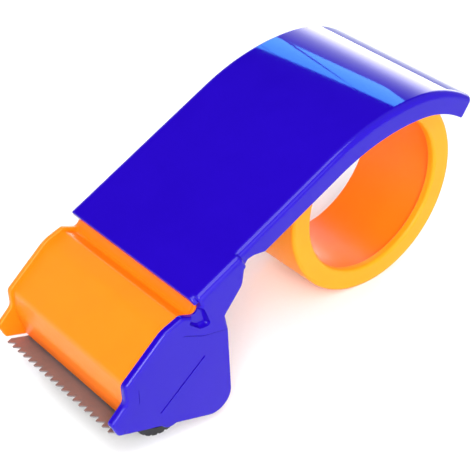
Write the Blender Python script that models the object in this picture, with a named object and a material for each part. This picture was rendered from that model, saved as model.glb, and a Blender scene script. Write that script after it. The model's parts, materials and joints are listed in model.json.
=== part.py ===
"""Hand-held tape dispenser for packing tape, modelled as an assembly of separate solids.

The side view is drawn in millimetres as (forward, up): forward runs from the tape hub's axis
towards the blade, and up is the height over the table. Widths are along X, with +X on the side
that the cover's cheek closes. The front of the dispenser faces -Y, and +Z is up.
"""

import math

import bmesh
import bpy
from mathutils import Vector

MM = 0.001

# Width, along X.
OVERALL_WIDTH = 64.5
COVER_CHEEK_WALL = 2.5
FRAME_WALL = 2.2
WEB_STEP = 0.4
CHEEK_INSET = 0.15
FLANGE_WALL = 2.2
FAR_FLANGE_WALL = 2.0
FLANGE_STEP = 1.25
GAP = 0.3
RUNNING_GAP = 0.4

# Cover, as a channel that follows the hand's curve.
PLATE_WALL = 2.4
FLANGE_HEIGHT = 7.8
FLANGE_ROOT = 0.2
NEAR_EDGE_ROUND = 2.4
FAR_EDGE_ROUND = 1.2
CREST_FORWARD = 9.0
CREST_FRONT_RADIUS = 79.0
CREST_REAR_RADIUS = 44.0
COVER_REAR = -15.0
COVER_FRONT_UP = 50.2
COVER_NOSE_GAP = 19.3

# Tape hub: a drum that turns on the frame's sleeve.
HUB_RADIUS = 37.5
HUB_WALL = 2.6
HUB_LENGTH = 34.9
HUB_LIP_DEPTH = 8.0
HUB_LIP_WALL = 3.2
HUB_EDGE_ROUND = 1.2
HUB_SIDES = 72
SLEEVE_WALL = 2.4
SLEEVE_BEAD = 0.6
SLEEVE_BEAD_WIDTH = 1.2
WEB_DISC_STEP = 1.1
ROLL_SPACE = 13.7

# Press roller.
ROLLER_RADIUS = 10.5
ROLLER_BOSS_LENGTH = 3.65
ROLLER_CLEARANCE = 1.6
ROLLER_FLUTES = 24
FLUTE_DEPTH = 0.6
FLUTE_CREST_SHARE = 0.6
TYRE_WALL = 3.2
ROLLER_FORWARD = 108.0
AXLE_RADIUS = 2.0
BUSH_RADIUS = 4.4
BUSH_LENGTH = 6.0
BOSS_WALL = 2.0

# Guide roller behind the press roller.
GUIDE_RADIUS = 4.0
GUIDE_RIB = 0.7
GUIDE_RIBS = 8
GUIDE_AXLE_RADIUS = 1.5
GUIDE_BOSS_LENGTH = 4.0
GUIDE_BEHIND = 14.8
GUIDE_UP = 21.5

# Blade.
BLADE_WALL = 0.6
TOOTH_PITCH = 3.1
TOOTH_DEPTH = 2.6
BLADE_LEG_TOP = 25.0
BLADE_HEEL_AHEAD = 1.1
BLADE_HEEL_UP = 11.5
BLADE_REACH = 8.8
BLADE_SLOPE = 12.4
BLADE_SCREW_SPREAD = 40.0
BLADE_SCREW_UP = 20.5
BLADE_SCREW_RADIUS = 1.0
BLADE_SCREW_LENGTH = 2.6
BLADE_SCREW_HEAD = (2.1, 1.4)

# Screws that hold the cover to the frame.
COVER_SCREW_FORWARD = (2.0, 37.0, 70.0)
COVER_SCREW_DEPTH = 7.3
COVER_SCREW_RADIUS = 1.2
COVER_SCREW_LENGTH = 10.0
COVER_SCREW_HEAD = (2.3, 1.2)
COVER_SCREW_BOSS = 3.2
HEAD_SUNK = 0.1
RECESS_REACH = 1.3
RECESS_WIDTH = 0.6
RECESS_DEPTH = 0.7

# Guard, the front of the frame.
GUARD_WALL = 2.2
GUARD_TAIL = 9.5
GUARD_TAIL_TAPER = 4.0
GUARD_TAIL_BACK = 3.3
LIP_OVERLAP = 0.1

# Front and lower edges of both cheeks, from the valley over the guard's ridge to the waist:
# (forward of the blade's leg, up, corner radius).
CHEEK_CORNERS = [
    (-21.3, 44.3, 1.8),
    (-15.1, 46.4, 2.0),
    (-8.3, 43.8, 10.0),
    (6.2, 30.6, 2.2),
    (5.6, 24.4, 3.0),
    (11.2, 18.8, 1.2),
    (8.5, 13.6, 1.6),
    (-35.7, 1.5, 7.0),
    (-32.9, 34.8, 2.0),
    (-31.6, 40.3, 0.8),
    (-38.1, 48.8, 5.0),
]
# Corner of the neck under the cover's curve: (forward of the blade's leg, depth), and its radius.
CHEEK_NECK = (-36.2, 5.3)
CHEEK_NECK_ROUND = 1.6
# Bay in the near flange behind that neck: (forward of the blade's leg, depth, corner radius).
FLANGE_BAY = [
    (-46.5, 9.5, 0.0),
    (-40.4, 5.0, 4.0),
    (-38.3, 4.3, 1.2),
    (-36.0, 5.8, 0.0),
    (-34.0, 12.0, 0.0),
]
# Where each cheek's top edge starts and ends behind the blade's leg, and its depth under the top.
NEAR_CHEEK_TOP = (-36.1, -20.9, 0.1)
FAR_CHEEK_TOP = (-40.1, -21.5, 3.0)
CHEEK_TOP_ROUND = 0.8
# The near cheek's front edge under its top corner.
NEAR_CHEEK_NECK = (-22.2, 47.6, 1.0)
# Outer face of the guard, from behind its ridge down to the blade.
GUARD_CORNERS = [
    (-22.1, 47.7, 0.0),
    (-20.2, 43.0, 1.8),
    (-15.5, 45.2, 2.0),
    (-8.8, 42.9, 10.0),
    (5.1, 30.3, 3.0),
    (4.5, 22.0, 10.0),
]
# Inner face of the guard, from above the blade's leg back to the tail.
GUARD_INNER_CORNERS = [
    (GAP, 29.6, 0.0),
    (-9.1, 40.2, 0.0),
    (-15.5, 42.5, 0.0),
    (-20.7, 39.8, 0.0),
    (-23.1, 42.0, 0.0),
]
# Front end of the guard's tail, under the cover's edge.
TAIL_CORNERS = [(-20.9, 46.0, 0.0), (-19.6, 42.6, 0.0), (-21.5, 41.2, 0.0)]

# Frame's side web: where its top edge starts and ends, and its other corners.
WEB_REAR = -11.0
WEB_FRONT_BACK = 28.1
WEB_REAR_SHARE = (-0.77, 0.55)
WEB_HUB_SHARE = (0.8, -0.57)
WEB_BEND = (58.0, 31.0, 30.0)
WEB_CHEEK_CORNER = (-33.1, 26.0, 0.0)

# Places that follow from the sizes above.
NEAR_FACE = OVERALL_WIDTH / 2
FAR_FACE = -OVERALL_WIDTH / 2
CHEEK_INNER = NEAR_FACE - COVER_CHEEK_WALL
WEB_INNER = FAR_FACE + FRAME_WALL
WEB_OUTER = FAR_FACE + WEB_STEP
PAD_INNER = WEB_INNER - CHEEK_INSET
FLANGE_OUTER = NEAR_FACE - FLANGE_STEP
FLANGE_INNER = FLANGE_OUTER - FLANGE_WALL
FAR_FLANGE_OUTER = WEB_INNER + GAP
FAR_FLANGE_INNER = FAR_FLANGE_OUTER + FAR_FLANGE_WALL
INNER_WIDTH = CHEEK_INNER - WEB_INNER
WIDTH_CENTRE = (CHEEK_INNER + WEB_INNER) / 2
HUB_FAR = WEB_INNER + RUNNING_GAP
HUB_NEAR = HUB_FAR + HUB_LENGTH
HUB_BORE = HUB_RADIUS - HUB_WALL
HUB_LIP_RADIUS = HUB_RADIUS - HUB_LIP_DEPTH
WEB_DISC_RADIUS = HUB_RADIUS - WEB_DISC_STEP
SLEEVE_RADIUS = HUB_BORE - RUNNING_GAP
SLEEVE_BORE = SLEEVE_RADIUS - SLEEVE_WALL
SLEEVE_END = HUB_NEAR - HUB_LIP_WALL - RUNNING_GAP
HUB_FLAT = HUB_RADIUS * math.cos(math.pi / HUB_SIDES)
HUB_CENTRE = (0.0, HUB_FLAT)
FLUTE_HALF_CREST = FLUTE_CREST_SHARE * math.pi / ROLLER_FLUTES
ROLLER_CENTRE = (ROLLER_FORWARD, ROLLER_RADIUS * math.cos(FLUTE_HALF_CREST))
ROLLER_LENGTH = INNER_WIDTH - 2 * (ROLLER_BOSS_LENGTH + RUNNING_GAP)
GUIDE_LENGTH = INNER_WIDTH - 2 * (GUIDE_BOSS_LENGTH + RUNNING_GAP)
GUIDE_CENTRE = (ROLLER_FORWARD - GUIDE_BEHIND, GUIDE_UP)
BLADE_LEG_FORWARD = ROLLER_FORWARD + ROLLER_RADIUS + ROLLER_CLEARANCE
BLADE_HEEL = (BLADE_LEG_FORWARD + BLADE_HEEL_AHEAD, BLADE_HEEL_UP)
TOOTH_COUNT = math.floor((INNER_WIDTH - 2 * GAP) / TOOTH_PITCH)
CREST_UP = 2 * HUB_RADIUS + ROLL_SPACE
COVER_FRONT = BLADE_LEG_FORWARD - COVER_NOSE_GAP
GUARD_TAIL_FRONT = COVER_FRONT - GUARD_TAIL_BACK


def plate_slope():
    """Slope in radians of the line from the cover's front edge that touches the front arc."""
    ahead = COVER_FRONT - CREST_FORWARD
    rise = COVER_FRONT_UP - (CREST_UP - CREST_FRONT_RADIUS)
    return math.atan2(ahead, rise) - math.acos(CREST_FRONT_RADIUS / math.hypot(ahead, rise))


PLATE_SLOPE = plate_slope()
ARC_END = CREST_FORWARD + CREST_FRONT_RADIUS * math.sin(PLATE_SLOPE)


def corner_arc(before, corner, after, radius, step=12.0):
    """Points of the arc that rounds one corner of an outline."""
    here = Vector(corner)
    back = (Vector(before) - here).normalized()
    ahead = (Vector(after) - here).normalized()
    half = back.angle(ahead) / 2
    reach = radius / math.tan(half)
    centre = here + (back + ahead).normalized() * (radius / math.sin(half))
    start = here + back * reach - centre
    turn = start.angle_signed(here + ahead * reach - centre)
    count = max(2, math.ceil(abs(math.degrees(turn)) / step))
    points = []
    for index in range(count + 1):
        angle = -turn * index / count
        swung = (
            start.x * math.cos(angle) - start.y * math.sin(angle),
            start.x * math.sin(angle) + start.y * math.cos(angle),
        )
        points.append((centre.x + swung[0], centre.y + swung[1]))
    return points


def rounded(corners, closed=True):
    """Outline through corners given as (forward, up, radius), with their corners rounded."""
    points = []
    last = len(corners) - 1
    for index, (forward, up, radius) in enumerate(corners):
        at_end = not closed and index in (0, last)
        if radius == 0 or at_end:
            points.append((forward, up))
            continue
        before = corners[index - 1][:2]
        after = corners[(index + 1) % len(corners)][:2]
        points.extend(corner_arc(before, (forward, up), after, radius))
    return points


def curve_point(forward, depth=0.0):
    """Point at a depth under the cover's top curve."""
    if forward > ARC_END:
        slope = PLATE_SLOPE
        up = CREST_UP - CREST_FRONT_RADIUS * (1 - math.cos(slope))
        up -= (forward - ARC_END) * math.tan(slope)
    else:
        radius = CREST_FRONT_RADIUS if forward > CREST_FORWARD else CREST_REAR_RADIUS
        slope = math.asin((forward - CREST_FORWARD) / radius)
        up = CREST_UP - radius * (1 - math.cos(slope))
    return forward - depth * math.sin(slope), up - depth * math.cos(slope)


def curve_stations():
    """Forward positions along the cover's curve, close together on the arcs."""
    steps = 9
    rear = [COVER_REAR + (CREST_FORWARD - COVER_REAR) * step / steps for step in range(steps)]
    front = [CREST_FORWARD + (ARC_END - CREST_FORWARD) * step / steps for step in range(steps + 1)]
    return rear + front + [COVER_FRONT]


def curve_run(start, end, depth):
    """Points at one depth under the cover's curve between two forward positions."""
    between = [forward for forward in curve_stations() if start < forward < end]
    return [curve_point(forward, depth) for forward in [start, *between, end]]


def from_leg(corners):
    """Corners moved from the blade's leg to the hub's axis."""
    return [(BLADE_LEG_FORWARD + ahead, up, radius) for ahead, up, radius in corners]


def cheek_outline(top, neck=()):
    """Side-view outline of a cheek, with its top edge on or under the cover's curve."""
    rear, front, depth = top
    corners = []
    for ahead in (rear, front):
        corners.append((*curve_point(BLADE_LEG_FORWARD + ahead, depth), CHEEK_TOP_ROUND))
    waist = curve_point(BLADE_LEG_FORWARD + CHEEK_NECK[0], CHEEK_NECK[1])
    corners += from_leg([*neck, *CHEEK_CORNERS])
    return rounded([*corners, (*waist, CHEEK_NECK_ROUND)])


FRONT_REACH = max(point[0] for point in cheek_outline(FAR_CHEEK_TOP))
# The origin lies under the middle of the whole dispenser.
HUB_Y = (FRONT_REACH - HUB_FLAT) / 2


def place(x, forward, up):
    """World position in metres of a point given in millimetres in the side view."""
    return Vector((x, HUB_Y - forward, up)) * MM


def finish(name, mesh_data, material=None):
    """Links a mesh as an object with outward faces and, for a visible piece, its material."""
    bmesh.ops.recalc_face_normals(mesh_data, faces=mesh_data.faces)
    mesh = bpy.data.meshes.new(name)
    mesh_data.to_mesh(mesh)
    mesh_data.free()
    item = bpy.data.objects.new(name, mesh)
    bpy.context.scene.collection.objects.link(item)
    if material:
        mesh.materials.append(material)
        mesh.shade_smooth()
        mesh.set_sharp_from_angle(angle=math.radians(35))
    return item


def extrude(name, outline, shift, material=None):
    """Solid made by moving a flat outline of world points along a shift."""
    data = bmesh.new()
    first = [data.verts.new(point) for point in outline]
    second = [data.verts.new(point + shift) for point in outline]
    data.faces.new(first)
    data.faces.new(reversed(second))
    count = len(outline)
    for index in range(count):
        after = (index + 1) % count
        data.faces.new((first[index], first[after], second[after], second[index]))
    return finish(name, data, material)


def prism(name, outline, start, end, material=None):
    """Solid with a side-view outline, between two widths."""
    points = [place(start, forward, up) for forward, up in outline]
    return extrude(name, points, Vector(((end - start) * MM, 0, 0)), material)


def lathe(name, profile, centre, sides, material=None, axis="x"):
    """Closed ring or shaft turned about a line through a side-view centre.

    The profile is a closed loop of (along, radius). Points with radius 0 become one pole each.
    """
    data = bmesh.new()
    rings = []
    for along, radius in profile:
        ring = []
        for side in range(sides if radius > 0 else 1):
            angle = 2 * math.pi * (side + 0.5) / sides - math.pi / 2
            if axis == "x":
                point = place(
                    along,
                    centre[1] + radius * math.cos(angle),
                    centre[2] + radius * math.sin(angle),
                )
            else:
                point = place(
                    centre[0] + radius * math.cos(angle),
                    along,
                    centre[2] + radius * math.sin(angle),
                )
            ring.append(data.verts.new(point))
        rings.append(ring)
    for index, ring in enumerate(rings):
        after = rings[(index + 1) % len(rings)]
        if len(ring) == 1 and len(after) == 1:
            continue
        for side in range(sides):
            beyond = (side + 1) % sides
            if len(ring) == 1:
                data.faces.new((ring[0], after[beyond], after[side]))
            elif len(after) == 1:
                data.faces.new((ring[side], ring[beyond], after[0]))
            else:
                data.faces.new((ring[side], ring[beyond], after[beyond], after[side]))
    return finish(name, data, material)


def cylinder(name, start, end, radius, centre, sides=24, material=None):
    """Solid cylinder along X about a side-view centre."""
    profile = [(start, 0), (start, radius), (end, radius), (end, 0)]
    return lathe(name, profile, (0, *centre), sides, material)


def boolean(target, tool, operation):
    """Adds a Boolean modifier and turns its tool into a hidden helper.

    The exact solver leaves open edges where round bosses run along thin walls, so every step
    uses the manifold solver. All the meshes are closed, as it needs.
    """
    modifier = target.modifiers.new(tool.name, "BOOLEAN")
    modifier.operation = operation
    modifier.object = tool
    modifier.solver = "MANIFOLD"
    tool.hide_render = True
    tool.display_type = "WIRE"


def join(target, *tools):
    """Unites tools with the target."""
    for tool in tools:
        boolean(target, tool, "UNION")


def cut(target, *tools):
    """Cuts tools out of the target."""
    for tool in tools:
        boolean(target, tool, "DIFFERENCE")


def finish_material(name, colour, roughness, metallic=0.0):
    """Plain Principled material."""
    material = bpy.data.materials.new(name)
    material.use_nodes = True
    shader = material.node_tree.nodes["Principled BSDF"]
    shader.inputs["Base Color"].default_value = (*colour, 1)
    shader.inputs["Roughness"].default_value = roughness
    shader.inputs["Metallic"].default_value = metallic
    return material


def group(name, forward, up):
    """Empty on a joint's axis, which the pieces of one moving body are parented to."""
    empty = bpy.data.objects.new(name, None)
    empty.location = place(0, forward, up)
    bpy.context.scene.collection.objects.link(empty)
    return empty


def attach(parent, *pieces):
    """Parents pieces to an empty and moves their origins onto it."""
    for piece in pieces:
        for vertex in piece.data.vertices:
            vertex.co -= parent.location
        piece.parent = parent


def screw_centre(forward):
    """Side-view centre of the cover screw at a forward position."""
    return curve_point(forward, COVER_SCREW_DEPTH)


def channel_section(height):
    """Cross-section of the cover as (x, depth under the top), with flanges of one height.

    The plate spans the whole width, over the frame's web. The far flange stands inside that web.
    """
    near_turn = [
        (
            FLANGE_OUTER - NEAR_EDGE_ROUND * (1 - math.cos(math.radians(angle))),
            NEAR_EDGE_ROUND * (1 - math.sin(math.radians(angle))),
        )
        for angle in (0, 22.5, 45, 67.5, 90)
    ]
    far_turn = [
        (
            FAR_FACE + FAR_EDGE_ROUND * (1 - math.cos(math.radians(angle))),
            FAR_EDGE_ROUND * (1 - math.sin(math.radians(angle))),
        )
        for angle in (90, 45, 0)
    ]
    return [
        (FLANGE_OUTER, height),
        *near_turn,
        *far_turn,
        (FAR_FACE, PLATE_WALL),
        (FAR_FLANGE_OUTER, PLATE_WALL),
        (FAR_FLANGE_OUTER, height),
        (FAR_FLANGE_INNER, height),
        (FAR_FLANGE_INNER, PLATE_WALL),
        (FLANGE_INNER, PLATE_WALL),
        (FLANGE_INNER, height),
    ]


def make_channel(material):
    """Top plate and its two flanges, swept along the cover's curve.

    The flanges stop short of the plate's front edge, where only a low root of them runs on.
    """
    data = bmesh.new()
    root = PLATE_WALL + FLANGE_ROOT
    stations = [(forward, FLANGE_HEIGHT) for forward in curve_stations()[:-1]]
    stations += [(GUARD_TAIL_FRONT, FLANGE_HEIGHT), (GUARD_TAIL_FRONT + FLANGE_ROOT, root)]
    rings = []
    for forward, height in [*stations, (COVER_FRONT, root)]:
        ring = []
        for x, depth in channel_section(height):
            ring.append(data.verts.new(place(x, *curve_point(forward, depth))))
        rings.append(ring)
    for ring, after in zip(rings, rings[1:]):
        for index in range(len(ring)):
            beyond = (index + 1) % len(ring)
            data.faces.new((ring[index], ring[beyond], after[beyond], after[index]))
    data.faces.new(rings[0])
    data.faces.new(reversed(rings[-1]))
    return finish("cover", data, material)


def axle_boss(name, inner, end, centre, radius):
    """Boss and blind hole on a cheek's inner face for the end of an axle."""
    inward = math.copysign(1, end - inner)
    boss = cylinder(f"{name}_boss", inner - inward, end, radius + GAP + BOSS_WALL, centre)
    bottom = inner + inward * GAP
    hole = cylinder(f"{name}_hole", bottom, end + inward, radius + GAP, centre)
    return boss, hole


def make_cover(material):
    """Blue moulding: the hand plate with its flanges and the near cheek."""
    cover = make_channel(material)
    bay = [
        (*curve_point(BLADE_LEG_FORWARD + ahead, depth), radius)
        for ahead, depth, radius in FLANGE_BAY
    ]
    cut(cover, prism("flange_bay", rounded(bay), FLANGE_INNER - GAP, NEAR_FACE + GAP))
    cheek = cheek_outline(NEAR_CHEEK_TOP, [NEAR_CHEEK_NECK])
    join(cover, prism("near_cheek", cheek, CHEEK_INNER, NEAR_FACE))
    for index, forward in enumerate(COVER_SCREW_FORWARD):
        centre = screw_centre(forward)
        end = WEB_OUTER + COVER_SCREW_LENGTH + 2 * GAP
        start = (FAR_FLANGE_OUTER + FAR_FLANGE_INNER) / 2
        join(cover, cylinder(f"screw_boss_{index}", start, end + BOSS_WALL, COVER_SCREW_BOSS, centre, 20))
        hole_radius = COVER_SCREW_RADIUS + GAP
        cut(cover, cylinder(f"screw_hole_{index}", FAR_FACE, end, hole_radius, centre, 16))
    roller_end = WIDTH_CENTRE + ROLLER_LENGTH / 2 + RUNNING_GAP
    guide_end = WIDTH_CENTRE + GUIDE_LENGTH / 2 + RUNNING_GAP
    for name, end, centre, radius in (
        ("near_axle", roller_end, ROLLER_CENTRE, AXLE_RADIUS),
        ("near_guide", guide_end, GUIDE_CENTRE, GUIDE_AXLE_RADIUS),
    ):
        boss, hole = axle_boss(name, CHEEK_INNER, end, centre, radius)
        join(cover, boss)
        cut(cover, hole)
    return cover


def guard_outline():
    """Closed side-view outline of the guard's wall in front of the cover."""
    up = BLADE_HEEL_UP + GAP + LIP_OVERLAP
    lip = [(BLADE_HEEL_AHEAD + LIP_OVERLAP, up, 0.0), (GAP, up, 0.0)]
    return rounded(from_leg([*GUARD_CORNERS, *lip, *GUARD_INNER_CORNERS]), closed=False)


def tail_outline():
    """Side-view outline of the guard's tail, which the cover's front edge overlaps."""
    start = GUARD_TAIL_FRONT - GUARD_TAIL
    under = PLATE_WALL + GAP
    top = curve_run(start, GUARD_TAIL_FRONT, under)
    bottom = curve_run(start, GUARD_TAIL_FRONT - GUARD_TAIL_TAPER, under + GUARD_WALL)
    return top + rounded(from_leg(TAIL_CORNERS), closed=False) + bottom[::-1]


def web_outline():
    """Side-view outline of the web between the hub's disc and the far cheek."""
    front = BLADE_LEG_FORWARD - WEB_FRONT_BACK
    upper = curve_run(WEB_REAR, front, FLANGE_HEIGHT / 2)
    rear, hub = (
        (HUB_RADIUS * across, HUB_FLAT + HUB_RADIUS * rise)
        for across, rise in (WEB_REAR_SHARE, WEB_HUB_SHARE)
    )
    lower = [*from_leg([WEB_CHEEK_CORNER]), WEB_BEND, (*hub, 0.0)]
    return upper + rounded(lower, closed=False) + [HUB_CENTRE, rear]


def make_frame(material):
    """Orange moulding: side web with the hub's sleeve, far cheek and front guard."""
    frame = prism("frame", web_outline(), WEB_OUTER, WEB_INNER, material)
    bead = SLEEVE_END - HUB_LIP_WALL
    sleeve = [
        (FAR_FACE, SLEEVE_BORE),
        (FAR_FACE, WEB_DISC_RADIUS),
        (PAD_INNER, WEB_DISC_RADIUS),
        (PAD_INNER, SLEEVE_RADIUS),
        (bead - SLEEVE_BEAD_WIDTH, SLEEVE_RADIUS),
        (bead - SLEEVE_BEAD_WIDTH / 2, SLEEVE_RADIUS + SLEEVE_BEAD),
        (bead, SLEEVE_RADIUS + SLEEVE_BEAD),
        (bead + SLEEVE_BEAD_WIDTH, SLEEVE_RADIUS),
        (SLEEVE_END, SLEEVE_RADIUS),
        (SLEEVE_END, SLEEVE_BORE),
    ]
    wide = (SLEEVE_BORE + SLEEVE_RADIUS) / 2
    cut(frame, cylinder("web_hole", FAR_FACE - 1, WEB_INNER + 1, wide, HUB_CENTRE, HUB_SIDES))
    join(frame, lathe("sleeve", sleeve, (0, *HUB_CENTRE), HUB_SIDES))
    join(frame, prism("far_cheek", cheek_outline(FAR_CHEEK_TOP), FAR_FACE, PAD_INNER))
    guard_end = CHEEK_INNER - GAP
    overlap = (FAR_FACE + WEB_INNER) / 2
    join(frame, prism("guard", guard_outline(), overlap, guard_end))
    tail_start = FAR_FLANGE_INNER + GAP
    join(frame, prism("guard_tail", tail_outline(), tail_start, FLANGE_INNER - GAP))
    roller_end = WIDTH_CENTRE - ROLLER_LENGTH / 2 - RUNNING_GAP
    guide_end = WIDTH_CENTRE - GUIDE_LENGTH / 2 - RUNNING_GAP
    for name, end, boss_centre, radius in (
        ("far_axle", roller_end, ROLLER_CENTRE, AXLE_RADIUS),
        ("far_guide", guide_end, GUIDE_CENTRE, GUIDE_AXLE_RADIUS),
    ):
        boss, hole = axle_boss(name, WEB_INNER, end, boss_centre, radius)
        join(frame, boss)
        cut(frame, hole)
    for index, forward in enumerate(COVER_SCREW_FORWARD):
        head, depth = COVER_SCREW_HEAD
        shank = COVER_SCREW_RADIUS + GAP
        sink = [
            (FAR_FACE - 1, 0),
            (FAR_FACE - 1, head + GAP),
            (WEB_OUTER, head + GAP),
            (WEB_OUTER + depth, shank),
            (WEB_INNER + 1, shank),
            (WEB_INNER + 1, 0),
        ]
        cut(frame, lathe(f"sink_{index}", sink, (0, *screw_centre(forward)), 20))
    for side in (-1, 1):
        x = WIDTH_CENTRE + side * BLADE_SCREW_SPREAD / 2
        hole = blade_screw_bore(f"blade_screw_hole_{side}", x)
        cut(frame, hole)
    return frame


def blade_screw_bore(name, x):
    """Cutter for a blade screw's hole, through the blade's leg and into the guard."""
    radius = BLADE_SCREW_RADIUS + GAP
    start = BLADE_LEG_FORWARD - 2 * BLADE_WALL
    end = BLADE_LEG_FORWARD + GAP + BLADE_SCREW_LENGTH + GAP
    profile = [(start, 0), (start, radius), (end, radius), (end, 0)]
    return lathe(name, profile, (x, 0, BLADE_SCREW_UP), 16, axis="y")


def make_hub(material):
    """Drum that carries the tape roll."""
    groove = SLEEVE_END - HUB_LIP_WALL
    deep = HUB_BORE + SLEEVE_BEAD
    profile = [
        (HUB_FAR, HUB_BORE),
        (HUB_FAR, HUB_RADIUS),
        (HUB_NEAR - HUB_EDGE_ROUND, HUB_RADIUS),
        (HUB_NEAR, HUB_RADIUS - HUB_EDGE_ROUND),
        (HUB_NEAR, HUB_LIP_RADIUS + HUB_EDGE_ROUND / 2),
        (HUB_NEAR - HUB_EDGE_ROUND / 2, HUB_LIP_RADIUS),
        (HUB_NEAR - HUB_LIP_WALL, HUB_LIP_RADIUS),
        (HUB_NEAR - HUB_LIP_WALL, HUB_BORE),
        (groove + SLEEVE_BEAD_WIDTH + RUNNING_GAP, HUB_BORE),
        (groove + RUNNING_GAP, deep),
        (groove - SLEEVE_BEAD_WIDTH / 2 - RUNNING_GAP, deep),
        (groove - SLEEVE_BEAD_WIDTH - RUNNING_GAP, HUB_BORE),
    ]
    return lathe("tape_hub", profile, (0, *HUB_CENTRE), HUB_SIDES, material)


def make_press_roller(core_material, tyre_material, bush_material):
    """Fluted tyre on its core, with a bush in each end."""
    half = ROLLER_LENGTH / 2
    start, end = WIDTH_CENTRE - half, WIDTH_CENTRE + half
    core_radius = ROLLER_RADIUS - TYRE_WALL
    seat = BUSH_RADIUS + GAP
    bore = AXLE_RADIUS + 2 * GAP
    depth = BUSH_LENGTH + GAP
    profile = [
        (start, seat),
        (start, core_radius),
        (end, core_radius),
        (end, seat),
        (end - depth, seat),
        (end - depth, bore),
        (start + depth, bore),
        (start + depth, seat),
    ]
    centre = (0, *ROLLER_CENTRE)
    core = lathe("press_roller_core", profile, centre, 32, core_material)
    outline = []
    for flute in range(ROLLER_FLUTES):
        middle = 2 * math.pi * flute / ROLLER_FLUTES - math.pi / 2
        valley = middle + math.pi / ROLLER_FLUTES
        for angle, radius in (
            (middle - FLUTE_HALF_CREST, ROLLER_RADIUS),
            (middle + FLUTE_HALF_CREST, ROLLER_RADIUS),
            (valley, ROLLER_RADIUS - FLUTE_DEPTH),
        ):
            forward = ROLLER_CENTRE[0] + radius * math.cos(angle)
            outline.append((forward, ROLLER_CENTRE[1] + radius * math.sin(angle)))
    tyre = prism("press_roller_tyre", outline, start, end, tyre_material)
    cut(tyre, cylinder("tyre_bore", start - 1, end + 1, core_radius + GAP, ROLLER_CENTRE, 32))
    bushes = []
    for name, low in (("far", start), ("near", end - BUSH_LENGTH)):
        bush = [
            (low, AXLE_RADIUS + GAP),
            (low, BUSH_RADIUS),
            (low + BUSH_LENGTH, BUSH_RADIUS),
            (low + BUSH_LENGTH, AXLE_RADIUS + GAP),
        ]
        bushes.append(lathe(f"roller_bush_{name}", bush, centre, 24, bush_material))
    return [core, tyre, *bushes]


def make_axle(name, radius, centre, material):
    """Steel pin whose ends sit in the cheeks' blind holes."""
    start = WEB_INNER + 2 * GAP
    end = CHEEK_INNER - 2 * GAP
    chamfer = radius / 4
    profile = [
        (start, 0),
        (start, radius - chamfer),
        (start + chamfer, radius),
        (end - chamfer, radius),
        (end, radius - chamfer),
        (end, 0),
    ]
    return lathe(name, profile, (0, *centre), 24, material)


def make_guide_roller(material):
    """Thin idler with narrow ribs, so that the tape's sticky side hardly touches it."""
    start = WIDTH_CENTRE - GUIDE_LENGTH / 2
    pitch = GUIDE_LENGTH / (2 * GUIDE_RIBS - 1)
    bore = GUIDE_AXLE_RADIUS + GAP
    profile = [(start, bore)]
    for index in range(2 * GUIDE_RIBS - 1):
        radius = GUIDE_RADIUS - GUIDE_RIB * (index % 2)
        profile.append((start + pitch * index, radius))
        profile.append((start + pitch * (index + 1), radius))
    profile.append((start + GUIDE_LENGTH, bore))
    return lathe("guide_roller", profile, (0, *GUIDE_CENTRE), 24, material)


def make_blade(material):
    """Steel blade: a toothed strip that points forward, bent from a leg behind the guard."""
    slope = math.radians(BLADE_SLOPE)
    along = Vector((math.cos(slope), math.sin(slope)))
    width = TOOTH_PITCH * TOOTH_COUNT
    start = WIDTH_CENTRE - width / 2
    back = -(BLADE_HEEL[0] - BLADE_LEG_FORWARD) / math.cos(slope)

    def on_blade(x, reach):
        point = Vector(BLADE_HEEL) + along * reach
        return place(x, point.x, point.y)

    outline = [on_blade(start + width, back), on_blade(start, back)]
    for tooth in range(TOOTH_COUNT):
        x = start + TOOTH_PITCH * tooth
        outline.append(on_blade(x, BLADE_REACH - TOOTH_DEPTH))
        outline.append(on_blade(x + TOOTH_PITCH / 2, BLADE_REACH))
    outline.append(on_blade(start + width, BLADE_REACH - TOOTH_DEPTH))
    shift = Vector((0, -math.sin(slope), math.cos(slope))) * (-BLADE_WALL * MM)
    blade = extrude("cutter_blade", outline, shift, material)
    foot = BLADE_HEEL[1] - BLADE_WALL
    leg = [
        (BLADE_LEG_FORWARD - BLADE_WALL, foot),
        (BLADE_LEG_FORWARD, foot),
        (BLADE_LEG_FORWARD, BLADE_LEG_TOP),
        (BLADE_LEG_FORWARD - BLADE_WALL, BLADE_LEG_TOP),
    ]
    join(blade, prism("blade_leg", leg, start, start + width))
    for side in (-1, 1):
        x = WIDTH_CENTRE + side * BLADE_SCREW_SPREAD / 2
        cut(blade, blade_screw_bore(f"blade_hole_{side}", x))
    return blade


def cross_recess(screw, name, centre, axis):
    """Cuts a cross recess into a screw's head; centre is on the head's outer face."""
    long, half = RECESS_REACH, RECESS_WIDTH / 2
    for index, (wide, tall) in enumerate(((long, half), (half, long))):
        x, forward, up = centre
        if axis == "x":
            corners = [(forward - wide, up - tall), (forward + wide, up - tall)]
            corners += [(forward + wide, up + tall), (forward - wide, up + tall)]
            tool = prism(f"{name}_recess_{index}", corners, x - 1, x + RECESS_DEPTH)
        else:
            corners = [(forward - 1, up - tall), (forward + RECESS_DEPTH, up - tall)]
            corners += [(forward + RECESS_DEPTH, up + tall), (forward - 1, up + tall)]
            tool = prism(f"{name}_recess_{index}", corners, x - wide, x + wide)
        cut(screw, tool)


def make_cover_screw(name, forward, material):
    """Countersunk screw from the web's outer face into the cover's boss."""
    head, depth = COVER_SCREW_HEAD
    top = WEB_OUTER + HEAD_SUNK
    end = top + COVER_SCREW_LENGTH
    radius = COVER_SCREW_RADIUS
    profile = [
        (top, 0),
        (top, head),
        (top + depth, radius),
        (end - radius, radius),
        (end, radius / 3),
        (end, 0),
    ]
    centre = screw_centre(forward)
    screw = lathe(name, profile, (0, *centre), 20, material)
    cross_recess(screw, name, (top, *centre), "x")
    return screw


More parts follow.
